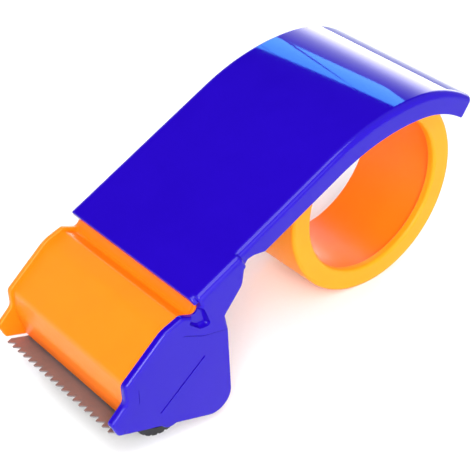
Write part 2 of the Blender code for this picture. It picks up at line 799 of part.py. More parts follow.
def make_blade_screw(name, x, material):
    """Pan-head screw from the blade's leg into the guard."""
    head, depth = BLADE_SCREW_HEAD
    under = BLADE_LEG_FORWARD - BLADE_WALL - GAP
    top = under - depth
    radius = BLADE_SCREW_RADIUS
    end = BLADE_LEG_FORWARD + GAP + BLADE_SCREW_LENGTH
    profile = [
        (top, 0),
        (top, head - depth / 3),
        (top + depth / 3, head),
        (under, head),
        (under, radius),
        (end, radius),
        (end, 0),
    ]
    screw = lathe(name, profile, (x, 0, BLADE_SCREW_UP), 20, material, axis="y")
    cross_recess(screw, name, (x, top, BLADE_SCREW_UP), "y")
    return screw


def main():
    """Builds every piece in place."""
    for item in list(bpy.data.objects):
        bpy.data.objects.remove(item)
    blue = finish_material("blue_gloss_plastic", (0.03, 0.01, 0.58), 0.15)
    orange = finish_material("orange_gloss_plastic", (1.0, 0.27, 0.01), 0.3)
    black = finish_material("black_rubber", (0.02, 0.02, 0.02), 0.7)
    grey = finish_material("black_plastic", (0.04, 0.04, 0.04), 0.5)
    nylon = finish_material("natural_nylon", (0.8, 0.78, 0.7), 0.4)
    steel = finish_material("bright_steel", (0.6, 0.6, 0.6), 0.3, 1.0)
    blade_steel = finish_material("blade_steel", (0.22, 0.15, 0.14), 0.4, 1.0)

    make_cover(blue)
    make_frame(orange)
    attach(group("hub_axis", *HUB_CENTRE), make_hub(orange))
    attach(group("roller_axis", *ROLLER_CENTRE), *make_press_roller(grey, black, nylon))
    attach(group("guide_axis", *GUIDE_CENTRE), make_guide_roller(nylon))
    make_axle("roller_axle", AXLE_RADIUS, ROLLER_CENTRE, steel)
    make_axle("guide_axle", GUIDE_AXLE_RADIUS, GUIDE_CENTRE, steel)
    make_blade(blade_steel)
    for name, side in (("far", -1), ("near", 1)):
        x = WIDTH_CENTRE + side * BLADE_SCREW_SPREAD / 2
        make_blade_screw(f"blade_screw_{name}", x, steel)
    for name, forward in zip(("rear", "middle", "front"), COVER_SCREW_FORWARD):
        make_cover_screw(f"cover_screw_{name}", forward, steel)


main()
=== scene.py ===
"""Studio scene of a hand-held tape dispenser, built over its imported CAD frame.

The side view is drawn in millimetres as (forward, up): forward runs from the tape hub's axis
towards the blade, and up is the height over the table. Widths are along X, with +X on the side
that the cover's cheek closes. Each sub-assembly is a class with its sizes as fields, and each
finish is a small class that builds one procedural material.
"""

import json  # noqa: E402
import logging  # noqa: E402
import math  # noqa: E402
from dataclasses import dataclass  # noqa: E402
from enum import Enum  # noqa: E402

import bmesh  # noqa: E402
import bpy  # noqa: E402
from mathutils import Matrix, Vector  # noqa: E402

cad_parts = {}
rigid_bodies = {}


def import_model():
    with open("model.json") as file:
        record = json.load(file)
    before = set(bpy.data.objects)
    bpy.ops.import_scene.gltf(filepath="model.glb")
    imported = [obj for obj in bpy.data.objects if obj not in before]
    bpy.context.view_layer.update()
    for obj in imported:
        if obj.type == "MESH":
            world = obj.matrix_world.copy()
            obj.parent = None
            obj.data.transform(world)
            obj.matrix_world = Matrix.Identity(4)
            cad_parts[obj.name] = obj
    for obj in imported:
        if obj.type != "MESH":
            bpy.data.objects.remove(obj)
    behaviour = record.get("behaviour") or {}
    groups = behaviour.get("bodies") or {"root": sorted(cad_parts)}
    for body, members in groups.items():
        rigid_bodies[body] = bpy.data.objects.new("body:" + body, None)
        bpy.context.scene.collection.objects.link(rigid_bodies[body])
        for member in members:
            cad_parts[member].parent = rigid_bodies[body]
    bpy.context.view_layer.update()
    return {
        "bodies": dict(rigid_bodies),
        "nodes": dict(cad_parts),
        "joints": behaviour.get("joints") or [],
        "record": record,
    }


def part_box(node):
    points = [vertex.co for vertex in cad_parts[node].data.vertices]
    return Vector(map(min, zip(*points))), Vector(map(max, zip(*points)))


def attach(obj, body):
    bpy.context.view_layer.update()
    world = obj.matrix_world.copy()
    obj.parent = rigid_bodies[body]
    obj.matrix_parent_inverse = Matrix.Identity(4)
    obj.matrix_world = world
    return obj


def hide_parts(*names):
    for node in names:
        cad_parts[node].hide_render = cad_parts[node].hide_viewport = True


MM = 0.001
SMOOTH_ANGLE = 32.0
# Distance in millimetres from the press roller's axis to the blade leg's outer face.
LEG_AHEAD = 12.1
# How far in millimetres a cutter or a joined piece runs past the face that it works on.
PAST = 1.0
LOG = logging.getLogger("tape_dispenser")

Point = tuple[float, float]
Rounded = tuple[float, float, float]


class Body(Enum):
    """The bodies of the dispenser, which the joints move."""

    DISPENSER = "dispenser_body"
    HUB = "hub_drum"
    PRESS_ROLLER = "press_roller"
    GUIDE = "guide_idler"


class Slot(Enum):
    """The record's material slots."""

    BLUE = "blue_plastic"
    ORANGE = "orange_plastic"
    RUBBER = "black_rubber"
    BLACK = "black_plastic"
    NYLON = "nylon"
    STEEL = "bright_steel"
    BLADE = "blade_steel"


# ---------------------------------------------------------------- outlines


@dataclass(frozen=True)
class Corner:
    """Corner of an outline in millimetres, with the radius that rounds it."""

    across: float
    up: float
    radius: float = 0.0


@dataclass(frozen=True)
class Outline:
    """Closed outline whose corners are rounded, and which can be drawn again further in."""

    corners: tuple[Corner, ...]
    step: float = 9.0

    @staticmethod
    def of(*corners: tuple[float, ...]) -> "Outline":
        """Outline through (across, up) or (across, up, radius) corners."""
        return Outline(tuple(Corner(*corner) for corner in corners))

    def _turning(self) -> float:
        """Twice the signed area, which is positive when the outline runs anticlockwise."""
        total = 0.0
        for index, corner in enumerate(self.corners):
            before = self.corners[index - 1]
            total += before.across * corner.up - corner.across * before.up
        return total

    def ring(self, inset: float = 0.0) -> list[Point]:
        """Points of the outline, moved inwards.

        Args:
            inset: Distance in millimetres between the outline and the ring.

        Returns:
            The ring's points. Their number doesn't depend on the inset.
        """
        side = 1.0 if self._turning() > 0 else -1.0
        places = [Vector((corner.across, corner.up)) for corner in self.corners]
        count = len(places)
        points: list[Point] = []
        for index, corner in enumerate(self.corners):
            here = places[index]
            back = (places[index - 1] - here).normalized()
            ahead = (places[(index + 1) % count] - here).normalized()
            in_back = Vector((back.y, -back.x)) * side
            in_ahead = Vector((-ahead.y, ahead.x)) * side
            moved = here + (in_back + in_ahead) * (inset / (1 + in_back.dot(in_ahead)))
            if corner.radius == 0:
                points.append((moved.x, moved.y))
                continue
            hollow = (ahead.x * back.y - ahead.y * back.x) * side < 0
            radius = max(corner.radius + (inset if hollow else -inset), 0.02)
            points.extend(self._arc(moved, back, ahead, radius))
        return points

    def _arc(self, corner: Vector, back: Vector, ahead: Vector, radius: float) -> list[Point]:
        """Points of the arc that rounds one corner."""
        half = back.angle(ahead) / 2
        centre = corner + (back + ahead).normalized() * (radius / math.sin(half))
        start = corner + back * (radius / math.tan(half)) - centre
        end = corner + ahead * (radius / math.tan(half)) - centre
        turn = math.atan2(start.x * end.y - start.y * end.x, start.dot(end))
        count = max(3, math.ceil(abs(math.degrees(turn)) / self.step - 0.01))
        points = []
        for index in range(count + 1):
            angle = turn * index / count
            cosine, sine = math.cos(angle), math.sin(angle)
            x = centre.x + start.x * cosine - start.y * sine
            points.append((x, centre.y + start.x * sine + start.y * cosine))
        return points


def round_over(start: float, end: float, near: float, far: float = 0.0) -> list[Point]:
    """Levels of a slab between two widths, with its two edges rounded.

    Args:
        start: Width where the slab starts.
        end: Width where the slab ends.
        near: Radius of the edge at the start.
        far: Radius of the edge at the end.

    Returns:
        A list of (width, inset).
    """
    sign = math.copysign(1.0, end - start)
    angles = [math.radians(15.0 * step) for step in range(7)]
    levels = []
    for angle in angles if near > 0 else [math.pi / 2]:
        levels.append((start + sign * near * (1 - math.cos(angle)), near * (1 - math.sin(angle))))
    for angle in reversed(angles) if far > 0 else [math.pi / 2]:
        levels.append((end - sign * far * (1 - math.cos(angle)), far * (1 - math.sin(angle))))
    return levels


# ---------------------------------------------------------------- layout


@dataclass(frozen=True)
class Layout:
    """Places of the dispenser's axes and faces, read from the frame, in millimetres."""

    hub_y: float
    hub: Point
    roller: Point
    guide: Point
    near_face: float
    far_face: float
    crest_up: float

    @property
    def leg(self) -> float:
        """Forward position of the blade leg's outer face, ahead of the press roller."""
        return self.roller[0] + LEG_AHEAD

    @staticmethod
    def of(frame: dict) -> "Layout":
        """Reads the layout from the loaded frame.


        Returns:
            The layout.
        """
        joints = {joint["name"]: joint["pos_m"] for joint in frame["joints"]}
        hub_y = joints["hub_spin"][1] / MM

        def side_view(name: str) -> Point:
            """(forward, up) of a joint's axis."""
            return hub_y - joints[name][1] / MM, joints[name][2] / MM

        _, cover_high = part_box("cover")
        frame_low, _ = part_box("frame")
        return Layout(
            hub_y=hub_y,
            hub=side_view("hub_spin"),
            roller=side_view("press_roller_spin"),
            guide=side_view("guide_roller_spin"),
            near_face=cover_high.x / MM,
            far_face=frame_low.x / MM,
            crest_up=cover_high.z / MM,
        )

    def place(self, x: float, forward: float, up: float) -> Vector:
        """World position in metres of a point given in millimetres."""
        return Vector((x, self.hub_y - forward, up)) * MM


@dataclass(frozen=True)
class Walls:
    """Widths, walls and fits that the mouldings share."""

    layout: Layout
    plate_wall: float = 2.4
    flange_height: float = 7.8
    cheek_wall: float = 2.5
    frame_wall: float = 2.2
    web_step: float = 0.4
    cheek_inset: float = 0.15
    flange_wall: float = 2.2
    far_flange_wall: float = 2.0
    flange_step: float = 1.25
    hub_bore: float = 34.9
    hub_length: float = 34.9
    hub_lip: float = 3.2
    gap: float = 0.3
    running_gap: float = 0.4

    @property
    def cheek_inner(self) -> float:
        """Inner face of the near cheek."""
        return self.layout.near_face - self.cheek_wall

    @property
    def web_inner(self) -> float:
        """Inner face of the far web."""
        return self.layout.far_face + self.frame_wall

    @property
    def web_outer(self) -> float:
        """Outer face of the far web, a little under the far cheek's."""
        return self.layout.far_face + self.web_step

    @property
    def pad_inner(self) -> float:
        """Inner face of the far cheek and of the hub's disc."""
        return self.web_inner - self.cheek_inset

    @property
    def flange_outer(self) -> float:
        """Outer face of the near flange."""
        return self.layout.near_face - self.flange_step

    @property
    def flange_inner(self) -> float:
        """Inner face of the near flange."""
        return self.flange_outer - self.flange_wall

    @property
    def far_flange_outer(self) -> float:
        """Outer face of the far flange."""
        return self.web_inner + self.gap

    @property
    def far_flange_inner(self) -> float:
        """Inner face of the far flange."""
        return self.far_flange_outer + self.far_flange_wall

    @property
    def width_centre(self) -> float:
        """Middle of the space between the cheeks."""
        return (self.cheek_inner + self.web_inner) / 2


@dataclass(frozen=True)
class HandCurve:
    """Top curve of the cover: two arcs that meet at the crest, then a straight slope."""

    crest_up: float
    front: float
    front_up: float = 50.2
    crest_forward: float = 9.0
    front_radius: float = 79.0
    rear_radius: float = 44.0

    @property
    def slope(self) -> float:
        """Slope in radians of the line from the front edge that touches the front arc."""
        ahead = self.front - self.crest_forward
        rise = self.front_up - (self.crest_up - self.front_radius)
        return math.atan2(ahead, rise) - math.acos(self.front_radius / math.hypot(ahead, rise))

    @property
    def tangent(self) -> float:
        """Forward position where the front arc runs into the straight slope."""
        return self.crest_forward + self.front_radius * math.sin(self.slope)

    def point(self, forward: float, depth: float = 0.0) -> Point:
        """Side-view point under the curve.

        Args:
            forward: Forward position on the curve.
            depth: Distance under the curve, square to it.

        Returns:
            The point as (forward, up).
        """
        if forward > self.tangent:
            angle = self.slope
            up = self.crest_up - self.front_radius * (1 - math.cos(angle))
            up -= (forward - self.tangent) * math.tan(angle)
        else:
            radius = self.front_radius if forward > self.crest_forward else self.rear_radius
            angle = math.asin((forward - self.crest_forward) / radius)
            up = self.crest_up - radius * (1 - math.cos(angle))
        return forward - depth * math.sin(angle), up - depth * math.cos(angle)

    def run(self, start: float, end: float, depth: float, pitch: float = 3.0) -> list[Point]:
        """Points at one depth under the curve between two forward positions."""
        count = max(1, math.ceil(abs(end - start) / pitch))
        places = [start + (end - start) * index / count for index in range(count + 1)]
        return [self.point(forward, depth) for forward in places]


# ---------------------------------------------------------------- mesh tools


@dataclass
class Shaper:
    """Makes closed meshes from outlines and turned profiles, and joins or cuts them."""

    layout: Layout

    def loft(self, name: str, rings: list[list[Vector]]) -> bpy.types.Object:
        """Closed skin over rings that have the same number of points.

        Args:
            name: Name of the new object.
            rings: World points of each ring, in order.

        Returns:
            The new object.
        """
        data = bmesh.new()
        rows = [[data.verts.new(point) for point in ring] for ring in rings]
        for row, after in zip(rows, rows[1:]):
            for index in range(len(row)):
                beyond = (index + 1) % len(row)
                data.faces.new((row[index], row[beyond], after[beyond], after[index]))
        data.faces.new(rows[0])
        data.faces.new(reversed(rows[-1]))
        return self.link(name, data)

    def slab(self, name: str, outline: Outline, levels: list[Point]) -> bpy.types.Object:
        """Slab with a side-view outline, whose edges follow (width, inset) levels."""
        rings = []
        for x, inset in levels:
            rings.append([self.layout.place(x, *point) for point in outline.ring(inset)])
        return self.loft(name, rings)

    def sweep(
        self, name: str, curve: HandCurve, section: Outline, ends: list[Point], pitch: float = 1.5
    ) -> bpy.types.Object:
        """Bar that follows the hand curve.

        Args:
            name: Name of the new object.
            curve: The cover's top curve.
            section: Outline through (x, depth under the curve).
            ends: (forward, inset) levels, whose middle pair starts and ends the even stretch.
            pitch: Distance between the sections of the even stretch.

        Returns:
            The new object.
        """
        half = len(ends) // 2
        start, end = ends[half - 1][0], ends[half][0]
        count = math.ceil((end - start) / pitch)
        between = [(start + (end - start) * step / count, 0.0) for step in range(1, count)]
        rings = []
        for forward, inset in [*ends[:half], *between, *ends[half:]]:
            ring = section.ring(inset)
            rings.append([self.layout.place(x, *curve.point(forward, depth)) for x, depth in ring])
        return self.loft(name, rings)

    def turned(
        self,
        name: str,
        profile: list[Point],
        centre: tuple[float, float, float],
        sides: int = 96,
        along_y: bool = False,
    ) -> bpy.types.Object:
        """Ring or shaft turned about a line through a point.

        Args:
            name: Name of the new object.
            profile: Closed loop of (along, radius); points with radius 0 become one pole each.
            centre: Point (x, forward, up) that the line runs through.
            sides: Number of sides.
            along_y: True for a line along the forward direction instead of the width.

        Returns:
            The new object.
        """
        x, forward, up = centre
        data = bmesh.new()
        rings = []
        for along, radius in profile:
            ring = []
            for side in range(sides if radius > 0 else 1):
                angle = 2 * math.pi * side / sides - math.pi / 2
                sway, rise = radius * math.cos(angle), up + radius * math.sin(angle)
                if along_y:
                    ring.append(data.verts.new(self.layout.place(x + sway, along, rise)))
                else:
                    ring.append(data.verts.new(self.layout.place(along, forward + sway, rise)))
            rings.append(ring)
        for ring, after in zip(rings, rings[1:] + rings[:1]):
            if len(ring) == 1 and len(after) == 1:
                continue
            for side in range(sides):
                beyond = (side + 1) % sides
                if len(ring) == 1:
                    data.faces.new((ring[0], after[beyond], after[side]))
                elif len(after) == 1:
                    data.faces.new((ring[side], ring[beyond], after[0]))
                else:
                    data.faces.new((ring[side], ring[beyond], after[beyond], after[side]))
        return self.link(name, data)

    def rod(
        self, name: str, start: float, end: float, radius: float, centre: Point, edge: float = 0.0
    ) -> bpy.types.Object:
        """Solid cylinder along the width, with its end edges rounded."""
        profile = [(start, 0.0)]
        profile += [(along, radius - inset) for along, inset in round_over(start, end, edge, edge)]
        profile.append((end, 0.0))
        return self.turned(name, profile, (0.0, *centre), 48)

    def link(self, name: str, data: bmesh.types.BMesh) -> bpy.types.Object:
        """Turns a bmesh with its faces outwards into an object in the scene."""
        bmesh.ops.recalc_face_normals(data, faces=data.faces)
        mesh = bpy.data.meshes.new(name)
        data.to_mesh(mesh)
        data.free()
        piece = bpy.data.objects.new(name, mesh)
        bpy.context.scene.collection.objects.link(piece)
        return piece

    def combine(
        self, target: bpy.types.Object, operation: str, *tools: bpy.types.Object
    ) -> None:
        """Unites tools with a target or cuts them out, and removes the tools.

        Args:
            target: Object that is changed.
            operation: UNION or DIFFERENCE.
            tools: Closed objects.
        """
        for tool in tools:
            modifier = target.modifiers.new(tool.name, "BOOLEAN")
            modifier.operation = operation
            modifier.object = tool
            modifier.solver = "MANIFOLD"
        self.apply(target)
        for tool in tools:
            bpy.data.objects.remove(tool)

    def apply(self, target: bpy.types.Object) -> None:
        """Replaces a mesh by what its modifiers make of it."""
        graph = bpy.context.evaluated_depsgraph_get()
        made = bpy.data.meshes.new_from_object(target.evaluated_get(graph), depsgraph=graph)
        made.name = target.name
        target.modifiers.clear()
        target.data = made

    def dress(
        self,
        piece: bpy.types.Object,
        material: bpy.types.Material,
        angle: float = SMOOTH_ANGLE,
    ) -> bpy.types.Object:
        """Smooth shading that keeps flat faces flat, and the material.

        Args:
            piece: Object to finish.
            material: Its material.
            angle: Edges sharper than this stay sharp.

        Returns:
            The same object.
        """
        piece.data.materials.clear()
        piece.data.materials.append(material)
        piece.data.shade_smooth()
        piece.data.set_sharp_from_angle(angle=math.radians(angle))
        weighted = piece.modifiers.new("flat_faces", "WEIGHTED_NORMAL")
        weighted.keep_sharp = True
        weighted.weight = 100
        self.apply(piece)
        return piece


def install(piece: bpy.types.Object, body: Body, slot: Slot, *nodes: str) -> None:
    """Rides a piece on a body in place of CAD nodes, and reports it."""
    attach(piece, body.value)
    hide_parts(*nodes)
    LOG.info("%s: %d faces, on %s", piece.name, len(piece.data.polygons), body.value)


# ---------------------------------------------------------------- finishes


def linear(colour: str) -> tuple[float, float, float, float]:
    """Linear RGBA of an sRGB colour.

    Args:
        colour: Six hex digits.

    Returns:
        The colour's four linear channels, with alpha 1.
    """
    channels = []
    for start in (0, 2, 4):
        value = int(colour[start : start + 2], 16) / 255
        channels.append(value / 12.92 if value <= 0.04045 else ((value + 0.055) / 1.055) ** 2.4)
    return (*channels, 1.0)


def add_node(
    tree: bpy.types.NodeTree,
    kind: str,
    settings: dict | None = None,
    sockets: dict | None = None,
) -> bpy.types.Node:
    """Adds one node with its settings, values and links.

    Args:
        tree: Node tree that gets the node.
        kind: The node's type name.
        settings: Attributes of the node.
        sockets: Input names or numbers, each with a value or with the output that feeds it.

    Returns:
        The new node.
    """
    node = tree.nodes.new(kind)
    for name, value in (settings or {}).items():
        setattr(node, name, value)
    for name, value in (sockets or {}).items():
        if isinstance(value, bpy.types.NodeSocket):
            tree.links.new(value, node.inputs[name])
        else:
            node.inputs[name].default_value = value
    return node


class Finish:
    """Base of every finish: it opens a material with its own coordinates in millimetres."""

    name: str

    def start(self) -> tuple[bpy.types.Material, bpy.types.NodeTree, bpy.types.Node, object]:
        """Opens the material.

        Returns:
            The material, its tree, its shader and the output with positions in millimetres.
        """
        material = bpy.data.materials.new(self.name)
        material.use_nodes = True
        tree = material.node_tree
        shader = tree.nodes["Principled BSDF"]
        place = add_node(tree, "ShaderNodeTexCoord")
        scale = add_node(
            tree,
            "ShaderNodeVectorMath",
            {"operation": "SCALE"},
            {0: place.outputs["Object"], "Scale": 1 / MM},
        )
        return material, tree, shader, scale.outputs["Vector"]

    @staticmethod
    def spread(tree: bpy.types.NodeTree, factor: object, low: object, high: object) -> object:
        """Output that runs from low to high as a 0 to 1 factor rises."""
        node = add_node(tree, "ShaderNodeMapRange", sockets={"Value": factor})
        node.inputs["To Min"].default_value = low
        node.inputs["To Max"].default_value = high
        return node.outputs["Result"]


@dataclass(frozen=True)
class MouldedPlastic(Finish):
    """Injection-moulded ABS: an even colour with faint flow marks, orange peel and handling scuffs.

    The eye gets clean, deep colour with soft, slightly wavy reflections.
    """

    name: str
    colour: str
    flow_colour: str
    roughness: float
    peel_mm: float = 2.4
    peel_height: float = 0.012
    grain_mm: float = 0.35
    grain_height: float = 0.0
    flow_mm: float = 22.0
    specular: float = 0.5
    translucency: float = 0.0

    def build(self) -> bpy.types.Material:
        """Builds the material."""
        material, tree, shader, place = self.start()
        flow = add_node(
            tree,
            "ShaderNodeTexNoise",
            sockets={"Vector": place, "Scale": 1 / self.flow_mm, "Detail": 3.0, "Distortion": 1.2},
        )
        colour = add_node(
            tree,
            "ShaderNodeMix",
            {"data_type": "RGBA"},
            {
                "Factor": flow.outputs["Fac"],
                "A": linear(self.colour),
                "B": linear(self.flow_colour),
            },
        )
        tree.links.new(colour.outputs["Result"], shader.inputs["Base Color"])
        # Handling leaves short hairline rubs, which only change how sharp the gloss is.
        stretch = add_node(
            tree,
            "ShaderNodeMapping",
            sockets={"Vector": place, "Rotation": (0.3, 0.5, 0.7), "Scale": (0.25, 2.4, 1.1)},
        )
        rubs = add_node(
            tree,
            "ShaderNodeTexNoise",
            sockets={"Vector": stretch.outputs["Vector"], "Scale": 0.9, "Detail": 6.0},
        )
        gloss = self.spread(tree, rubs.outputs["Fac"], self.roughness * 0.75, self.roughness * 1.3)
        tree.links.new(gloss, shader.inputs["Roughness"])
        peel = add_node(
            tree,
            "ShaderNodeTexNoise",
            sockets={"Vector": place, "Scale": 1 / self.peel_mm, "Detail": 1.0},
        )
        bump = add_node(
            tree,
            "ShaderNodeBump",
            sockets={
                "Height": peel.outputs["Fac"],
                "Distance": self.peel_height * MM,
                "Strength": 1.0,
            },
        )
        if self.grain_height > 0:
            grain = add_node(
                tree,
                "ShaderNodeTexNoise",
                sockets={"Vector": place, "Scale": 1 / self.grain_mm, "Detail": 2.0},
            )
            bump = add_node(
                tree,
                "ShaderNodeBump",
                sockets={
                    "Height": grain.outputs["Fac"],
                    "Distance": self.grain_height * MM,
                    "Strength": 1.0,
                    "Normal": bump.outputs["Normal"],
                },
            )
        tree.links.new(bump.outputs["Normal"], shader.inputs["Normal"])
        shader.inputs["IOR"].default_value = 1.54
        shader.inputs["Specular IOR Level"].default_value = self.specular
        if self.translucency > 0:
            shader.inputs["Subsurface Weight"].default_value = self.translucency
            shader.inputs["Subsurface Radius"].default_value = (1.0, 0.45, 0.1)
            shader.inputs["Subsurface Scale"].default_value = 1.6 * MM
        return material


@dataclass(frozen=True)
class MouldedRubber(Finish):
    """Vulcanised black rubber: matt, a little dusty, with a fine moulded grain.

    The eye gets soft grey edges and no clear reflection.
    """

    name: str = "moulded_black_rubber"
    colour: str = "141416"
    dust: str = "3a3a3c"
    grain_mm: float = 0.3

    def build(self) -> bpy.types.Material:
        """Builds the material."""
        material, tree, shader, place = self.start()
        dust = add_node(
            tree,
            "ShaderNodeTexNoise",
            sockets={"Vector": place, "Scale": 1 / 3.0, "Detail": 6.0, "Roughness": 0.7},
        )
        share = self.spread(tree, dust.outputs["Fac"], -0.6, 1.1)
        colour = add_node(
            tree,
            "ShaderNodeMix",
            {"data_type": "RGBA"},
            {"Factor": share, "A": linear(self.colour), "B": linear(self.dust)},
        )
        tree.links.new(colour.outputs["Result"], shader.inputs["Base Color"])
        rough = self.spread(tree, dust.outputs["Fac"], 0.5, 0.85)
        tree.links.new(rough, shader.inputs["Roughness"])
        grain = add_node(
            tree,
            "ShaderNodeTexNoise",
            sockets={"Vector": place, "Scale": 1 / self.grain_mm, "Detail": 2.0},
        )
        bump = add_node(
            tree,
            "ShaderNodeBump",
            sockets={"Height": grain.outputs["Fac"], "Distance": 0.04 * MM, "Strength": 1.0},
        )
        tree.links.new(bump.outputs["Normal"], shader.inputs["Normal"])
        return material


@dataclass(frozen=True)
class Steel(Finish):
    """Steel worked in one direction: fine tool lines that stretch the highlights.

    The eye gets a soft metal gloss with streaks along the grinding or turning.
    """

    name: str
    colour: str
    stain: str
    roughness: float
    line_mm: float
    grain: tuple[float, float, float]
    line_height: float = 0.01
    metallic: float = 1.0

    def build(self) -> bpy.types.Material:
        """Builds the material."""
        material, tree, shader, place = self.start()
        stain = add_node(
            tree,
            "ShaderNodeTexNoise",
            sockets={"Vector": place, "Scale": 1 / 7.0, "Detail": 4.0, "Roughness": 0.6},
        )
        colour = add_node(
            tree,
            "ShaderNodeMix",
            {"data_type": "RGBA"},
            {"Factor": stain.outputs["Fac"], "A": linear(self.colour), "B": linear(self.stain)},
        )
        tree.links.new(colour.outputs["Result"], shader.inputs["Base Color"])
        stretch = add_node(
            tree, "ShaderNodeMapping", sockets={"Vector": place, "Scale": self.grain}
        )
        lines = add_node(
            tree,
            "ShaderNodeTexNoise",
            sockets={"Vector": stretch.outputs["Vector"], "Scale": 1 / self.line_mm, "Detail": 3.0},
        )
        rough = self.spread(tree, lines.outputs["Fac"], self.roughness * 0.7, self.roughness * 1.35)
        tree.links.new(rough, shader.inputs["Roughness"])
        bump = add_node(
            tree,
            "ShaderNodeBump",
            sockets={
                "Height": lines.outputs["Fac"],
                "Distance": self.line_height * MM,
                "Strength": 1.0,
            },
        )
        tree.links.new(bump.outputs["Normal"], shader.inputs["Normal"])
        shader.inputs["Metallic"].default_value = self.metallic
        return material


@dataclass(frozen=True)
class StudioPaper(Finish):
    """Seamless background paper: matt and almost white, with the faintest fibre."""

    name: str = "seamless_background_paper"
    colour: str = "f7f7f7"
    fibre: str = "f2f2f2"

    def build(self) -> bpy.types.Material:
        """Builds the material."""
        material, tree, shader, place = self.start()
        fibre = add_node(
            tree, "ShaderNodeTexNoise", sockets={"Vector": place, "Scale": 0.8, "Detail": 4.0}
        )
        colour = add_node(
            tree,
            "ShaderNodeMix",
            {"data_type": "RGBA"},
            {"Factor": fibre.outputs["Fac"], "A": linear(self.colour), "B": linear(self.fibre)},
        )
        tree.links.new(colour.outputs["Result"], shader.inputs["Base Color"])
        shader.inputs["Roughness"].default_value = 0.9
        shader.inputs["Specular IOR Level"].default_value = 0.2
        return material


@dataclass(frozen=True)
class Finishes:
    """Every finish of the dispenser, built once."""

    blue: bpy.types.Material
    orange: bpy.types.Material
    hub: bpy.types.Material
    rubber: bpy.types.Material
    black: bpy.types.Material
    nylon: bpy.types.Material
    turned_steel: bpy.types.Material
    blade_steel: bpy.types.Material

    @staticmethod
    def build() -> "Finishes":
        """Builds all the finishes."""
        return Finishes(
            # Polished ABS straight from a mirror mould: deep blue under a hard, clear gloss.
            blue=MouldedPlastic(
                "polished_blue_abs", "1c049a", "2006a2", 0.05, specular=0.22, peel_height=0.002
            ).build(),
            # ABS from a plain steel mould: warm orange with a broad, satin sheen.
            orange=MouldedPlastic(
                "satin_orange_abs",
                "ff7d0c",
                "ff7508",
                0.36,
                specular=0.25,
                grain_height=0.004,
                translucency=0.04,
            ).build(),
            # The drum is the same orange ABS. It gets a yellower, lighter base colour as painted
            # light that brightens its shaded bore and its rim, and a duller sheen.
            hub=MouldedPlastic(
                "satin_orange_abs_drum_painted_light",
                "ff9810",
                "ff900b",
                0.4,
                specular=0.2,
                grain_height=0.004,
            ).build(),
            rubber=MouldedRubber().build(),
            # Glass-filled black nylon: a dull, even black for the roller's core.
            black=MouldedPlastic(
                "moulded_black_plastic", "17171a", "1e1e21", 0.5, grain_height=0.01
            ).build(),
            # Natural nylon: milky off-white that light soaks into.
            nylon=MouldedPlastic(
                "natural_nylon", "e8e3d4", "ded8c6", 0.42, translucency=0.35, grain_height=0.004
            ).build(),
            # Turned and zinc-plated steel: rings from the tool round each pin and screw.
            turned_steel=Steel(
                "zinc_plated_turned_steel", "b9bcc0", "a3a6ab", 0.28, 0.35, (1.0, 0.15, 0.15)
            ).build(),
            # Spring steel strip, stamped and left oiled: brownish grey with rolling lines.
            blade_steel=Steel(
                "oiled_spring_steel",
                "857c7c",
                "726a6a",
                0.42,
                0.25,
                (0.1, 1.0, 1.0),
                metallic=0.25,
            ).build(),
        )


# ---------------------------------------------------------------- sub-assemblies


@dataclass
class Cheeks:
    """Side-view outlines of the two cheeks.

    Corners are (ahead of the blade's leg, up, radius). In top edges and in the waist, the middle
    value is the depth under the hand curve.
    """

    layout: Layout
    curve: HandCurve
    corners: tuple[Rounded, ...] = (
        (-21.3, 44.3, 1.8),
        (-15.1, 46.4, 2.0),
        (-8.3, 43.8, 10.0),
        (6.2, 30.6, 2.2),
        (5.6, 24.4, 3.0),
        (11.2, 18.8, 1.2),
        (8.5, 13.6, 1.6),
        (-35.7, 1.5, 7.0),
        (-32.9, 34.8, 2.0),
        (-31.6, 40.3, 0.8),
        (-38.1, 48.8, 5.0),
    )
    waist: Rounded = (-36.2, 5.3, 1.6)
    near_top: tuple[Rounded, ...] = ((-36.1, 2.6, 0.8), (-20.9, 2.6, 0.8))
    near_neck: tuple[Rounded, ...] = ((-22.2, 47.6, 1.0),)
    far_top: tuple[Rounded, ...] = ((-40.1, 3.0, 0.8), (-21.5, 3.0, 0.8))

    def from_leg(self, *corners: Rounded) -> list[Rounded]:
        """Corners (ahead of the leg, up, radius) moved to the hub's axis."""
        return [(self.layout.leg + ahead, up, radius) for ahead, up, radius in corners]

    def under_curve(self, *corners: Rounded) -> list[Rounded]:
        """Corners (ahead of the leg, depth under the hand curve, radius) in the side view."""
        leg = self.layout.leg
        return [(*self.curve.point(leg + ahead, depth), radius) for ahead, depth, radius in corners]

    def outline(self, top: tuple[Rounded, ...], neck: tuple[Rounded, ...] = ()) -> Outline:
        """Outline of one cheek.

        Args:
            top: Corners of its top edge, under the hand curve.
            neck: Corners between the top edge and the guard, where a neck joins the cover.

        Returns:
            The outline.
        """
        lower = self.from_leg(*neck, *self.corners)
        return Outline.of(*self.under_curve(*top), *lower, *self.under_curve(self.waist))


@dataclass
class Fasteners:
    """Places and sizes of the screws, which the mouldings leave room for."""

    cover_forward: tuple[float, ...] = (2.0, 37.0, 70.0)
    cover_depth: float = 7.3
    cover_radius: float = 1.2
    cover_length: float = 10.0
    cover_head: Point = (2.3, 1.2)
    cover_boss: float = 3.2
    head_sunk: float = 0.1
    blade_spread: float = 40.0
    blade_up: float = 20.5
    blade_radius: float = 1.0
    blade_length: float = 2.6
    blade_head: Point = (2.1, 1.4)


@dataclass
class Axles:
    """Sizes of the two axles and of the bosses that hold their ends."""

    roller_radius: float = 2.0
    guide_radius: float = 1.5
    roller_length: float = 51.7
    guide_length: float = 51.0
    boss_wall: float = 2.0


